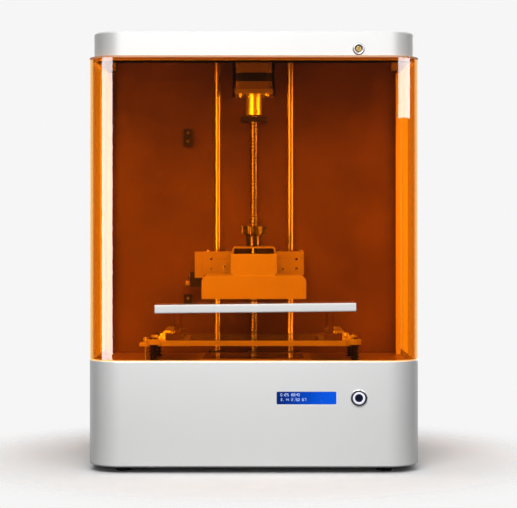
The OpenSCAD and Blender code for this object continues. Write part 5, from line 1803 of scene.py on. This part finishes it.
@dataclass
class Casing(Assembly):
    """The base, the cap, the rear cabinet and the plates inside, with their fittings."""

    edge: float = 0.3
    hood_reach: float = 2.0
    hood_sheet: float = 0.5
    slit_high: float = 3.0
    pin_recess: float = 1.0
    foot_level: float = 20.0
    strip_thick: float = 1.3
    strip_high: float = 4.3
    cap_corner: float = 32.0

    def shells(self, shop: Workshop) -> None:
        """Rounds the edges of the painted shells and of the plates inside them."""
        rows = (("base_casing", "base_shell", SILVER), ("cap_casing", "top_cap", SILVER),
                ("cabinet_sheet", "rear_cabinet", SILVER), ("deck_sheet", "deck_plate", DECK),
                ("back_sheet", "back_panel", PANEL), ("ceiling_sheet", "ceiling_plate", PANEL),
                ("bottom_sheet", "bottom_plate", STEEL))
        for name, node, finish in rows:
            shop.ease(name, node, finish, "root", self.edge, 2, 40.0)
        shop.ease("bevelled_pane", "projection_glass", OPTIC, "root", 0.4)

    def louvres(self, shop: Workshop) -> None:
        """Presses a hood over every slit of the service panel."""
        box = Box.of("service_panel")
        panel = Bench.taken("service_cover", "service_panel").softened(self.edge)
        half, out, thick = 21.4, self.hood_reach, self.hood_sheet
        profile = [(0.0, self.slit_high), (out * 0.55, 2.5), (out, 1.2), (out, 0.0),
                   (out - thick, 0.0), (out - thick, 1.0), (out * 0.4, 2.0), (0.0, 2.4)]
        skirt = box.low.z + 30.0
        back = box.high.y
        hood = Bench.prism("hood", Axis.X, [(back - 0.2 + y, skirt + z) for y, z in profile],
                           -half, half)
        hood.softened(0.12, 1)
        offsets = [(x, 0.0, 9.0 * row) for row in range(10) for x in (-40.0, 40.0)]
        shop.hand_over(panel.joined(hood.repeated(offsets)), SILVER, "root", "service_panel")

    def screws(self, shop: Workshop) -> None:
        """Builds the casing's screws, each looking the way its head faces."""
        cabinet = Box.of("service_panel").high.y
        heads = []
        for box in solids_of("case_screws"):
            r, spot = box.size.x / 2, box.mid
            if box.high.z < self.foot_level:
                spot.z = box.low.z + (1.8 if r > 3.1 else 1.4)
                heads.append(screw_head("casing_screws", Axis.Z, spot, r, spot.z - box.low.z, -1,
                                        Drive.CROSS, 0.3 * spot.x))
                shank = Bench.drum("shank", Axis.Z, spot, 1.5, spot.z, box.high.z, 20)
                heads.append(shank.softened(0.2, 1))
                continue
            rear = box.high.y > cabinet - 5.0 or box.low.y > 50.0
            spot.y = box.low.y if rear else box.high.y
            drive, turn = (Drive.CROSS, 0.2 * spot.z) if rear else (Drive.HEX, 0.0)
            heads.append(screw_head("casing_screws", Axis.Y, spot, r, box.size.y,
                                    1 if rear else -1, drive, turn))
        shop.hand_over(heads[0].joined(*heads[1:]), STEEL, "root", "case_screws")

    def seal(self, shop: Workshop) -> None:
        """Lays a dark strip in the gap between the cap and the cover: painted shade for the cover's
        shadow on the cap's lower band.
        """
        box, half = Box.of("top_cap"), Box.of("rear_cabinet").high.x
        box.low.x, box.high.x, low = -half, half, box.low.z
        strip = front_band("felt_seal", box, self.strip_thick + 0.1, self.strip_thick,
                           self.cap_corner, Box.of("cover_bumpers").low.y - 6.0, low + 0.3,
                           low + self.strip_high)
        shop.hand_over(strip.softened(0.3), PAINTED_SHADE, "root")

    def hinge(self, shop: Workshop) -> None:
        """Turns the stepped hinge pins with their coin slots, and the cap's bumpers."""
        right = max(solids_of("hinge_pins"), key=lambda box: box.mid.x)
        head, inner, r = right.high.x, right.low.x, right.size.z / 2
        profile = [(0.0, inner), (3.6, inner), (4.0, inner + 0.4), (4.0, head - 1.5),
                   (r - 0.3, head - 1.5), (r, head - 1.2), (r, head - 0.6), (r - 0.6, head - 0.1),
                   (r - 1.4, head), (0.0, head)]
        pin = Bench.turned("hinge_bolts", Axis.X, right.mid, profile, 48, closed=False)
        slot = Bench.block("slot", (head - self.pin_recess, right.mid.y - 0.7, right.mid.z - 9),
                           (head + 1, right.mid.y + 0.7, right.mid.z + 9))
        pin.cut(slot.turned_by(24.0, Axis.X, right.mid))
        shop.hand_over(pin.mirrored(), STEEL, "root", "hinge_pins")
        pad = max(solids_of("cover_bumpers"), key=lambda box: box.mid.x)
        x0, x1, r = pad.low.x, pad.high.x, pad.size.z / 2
        dome = [(0.0, x0), (r, x0), (r, x0 + 0.5), (r * 0.86, x0 + 1.1), (r * 0.5, x1 - 0.15),
                (0.0, x1)]
        pads = Bench.turned("side_bumpers", Axis.X, pad.mid, dome, 32, closed=False).mirrored()
        shop.hand_over(pads, RUBBER, "root", "cover_bumpers")

    def feet(self, shop: Workshop) -> None:
        """Moulds the four feet: a waisted pad with a sunk screw hole."""
        boxes = solids_of("rubber_feet")
        high, r = boxes[0].high.z, boxes[0].size.x / 2
        profile = [(4.0, 0.35), (r - 2.2, 0.35), (r - 1.6, 0.0), (r - 0.5, 0.0), (r, 0.5),
                   (r - 0.25, 2.4), (r - 0.9, 4.6), (r - 1.1, high), (2.0, high), (2.0, 3.1),
                   (3.7, 3.1), (3.7, 0.65)]
        foot = Bench.turned("moulded_feet", Axis.Z, (0, 0, 0), profile, 48)
        spots = [(*box.mid.xy, 0.0) for box in boxes]
        shop.hand_over(foot.repeated(spots), RUBBER, "root", "rubber_feet")

    steps = (shells, louvres, screws, seal, hinge, feet)


@dataclass
class Rear(Assembly):
    """The rear sockets and the fan."""

    blades: int = 7
    hub: float = 11.0
    blade_reach: float = 25.6
    blade_thick: float = 1.3
    root_lean: float = 52.0
    twist: float = 22.0
    proud: float = 2.1

    def shroud(self, name: str, box: Box, plug: Point, flange: Point, mouth: Point,
               deep: float) -> Bench:
        """Models one socket's shroud, each pair of sizes being half its width and height."""
        x, z, face = box.mid.x, box.mid.z, box.high.y
        back = face - self.proud

        def slab(size: Point, start: float, end: float) -> Bench:
            """Models one block of the shroud, centred on the socket."""
            return Bench.block(name, (x - size[0], start, z - size[1]),
                               (x + size[0], end, z + size[1]))

        body = slab(plug, box.low.y, face).bevel(1.2, 3, runs_along(Axis.Y))
        body.fused(slab(flange, back - 2.0, back).bevel(1.5, 3, runs_along(Axis.Y)))
        hollow = slab(mouth, back - deep, face + 1)
        hollow.bevel(1.6, 1, runs_along(Axis.Y, lambda edge: edge.verts[0].co.z > z))
        return body.cut(hollow).softened(0.3)

    def sockets(self, shop: Workshop) -> None:
        """Builds both sockets, the inlet's pins, the data tongue and its contacts."""
        port, inlet = sorted(solids_of("rear_sockets"), key=lambda one: one.mid.x)
        bodies = self.shroud("socket_shrouds", inlet, (14.9, 11.9), (18.0, 14.0), (12.0, 8.0), 14.0)
        bodies.joined(self.shroud("port", port, (6.9, 6.4), (9.0, 8.5), (4.5, 4.0), 10.0))
        back = inlet.high.y - self.proud
        x, z = port.mid.x, port.mid.z
        tongue = Bench.block("tongue", (x - 2.5, back - 10.2, z - 1.5),
                             (x + 2.5, back - 2, z + 1.5))
        shop.hand_over(bodies.joined(tongue.softened(0.3)), BLACK_PLASTIC, "root", "rear_sockets")
        pins = []
        for across, up in ((-7.0, -1.2), (0.0, 1.6), (7.0, -1.2)):
            x, z = inlet.mid.x + across, inlet.mid.z + up
            pins.append(Bench.block("inlet_pins", (x - 1.1, back - 14.2, z - 2.1),
                                    (x + 1.1, back - 1.9, z + 2.1)).softened(0.5))
        for step in range(4):
            x = port.mid.x - 1.8 + 1.2 * step
            pins.append(Bench.block("contact", (x - 0.3, back - 9.6, port.mid.z + 1.45),
                                    (x + 0.3, back - 2.4, port.mid.z + 1.7)).softened(0.08, 1))
        shop.hand_over(pins[0].joined(*pins[1:]), BRASS, "root", "rear_sockets")

    def blade(self, x: float, depth: float, z: float) -> Bench:
        """Extrudes one blade outwards from the hub, easing its lean on the way."""
        lean = math.radians(self.root_lean)
        chord = [(x + self.hub - 0.6, depth - math.cos(lean) * part, z + math.sin(lean) * part)
                 for part in (-5.4, -2.7, 0.0, 2.7, 5.4)]
        blade = Bench.chain("blade", chord)
        step = (self.blade_reach - self.hub + 0.6) / 6
        with blade.editing():
            for _ in range(6):
                bpy.ops.mesh.extrude_region_move(
                    TRANSFORM_OT_translate={"value": (step, 0.0, 0.0)})
                bpy.ops.transform.rotate(value=math.radians(self.twist / 6), orient_axis="X",
                                         center_override=(x, depth, z))
        return blade.modified("SOLIDIFY", thickness=self.blade_thick, offset=0.0)

    def fan(self, shop: Workshop) -> None:
        """Builds the fan's frame and its rotor with curved blades."""
        shop.ease("fan_housing", "fan_frame", BLACK_PLASTIC, "root", 0.5)
        box = Box.of("fan_rotor")
        x, z, low, high = box.mid.x, box.mid.z, box.low.y + 1.5, box.high.y
        bore, r = 1.6, self.hub
        profile = [(bore, low), (r - 1.0, low), (r, low + 1.0), (r, high - 1.2),
                   (r - 1.2, high - 0.2), (bore, high - 0.2)]
        rotor = Bench.turned("blade_wheel", Axis.Y, (x, 0, z), profile, 40)
        blades = [self.blade(x, box.mid.y, z).turned_by(360.0 * turn / self.blades, Axis.Y,
                                                        (x, 0, z)) for turn in range(self.blades)]
        rotor.joined(*blades)
        shop.hand_over(rotor, BLACK_PLASTIC, "fan", "fan_rotor")

    steps = (sockets, fan)


ASSEMBLIES = (Hood, Controls, DriveTrain, Carriage, LimitSwitch, Vat, Casing, Rear)


# ---- the whole


KEPT_NODES: dict[str, AnyFinish] = {
    "circuit_boards": BOARD, "projector": BLACK_PLASTIC, "focus_ring": BLACK_METAL,
    "mirror_unit": ALUMINIUM, "power_supply": STEEL, "motor_rotor": STEEL, "vat_film": FILM}


def main() -> None:
    """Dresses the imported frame, builds the detailed pieces and sets up the studio."""
    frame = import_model()
    clear_selection()
    shop = Workshop()
    for name, finish in KEPT_NODES.items():
        shop.dress(frame["nodes"][name], finish)
    for assembly in ASSEMBLIES:
        assembly().build(shop)
    Studio().build()


if __name__ == "__main__":
    logging.basicConfig(level=logging.INFO)
    main()
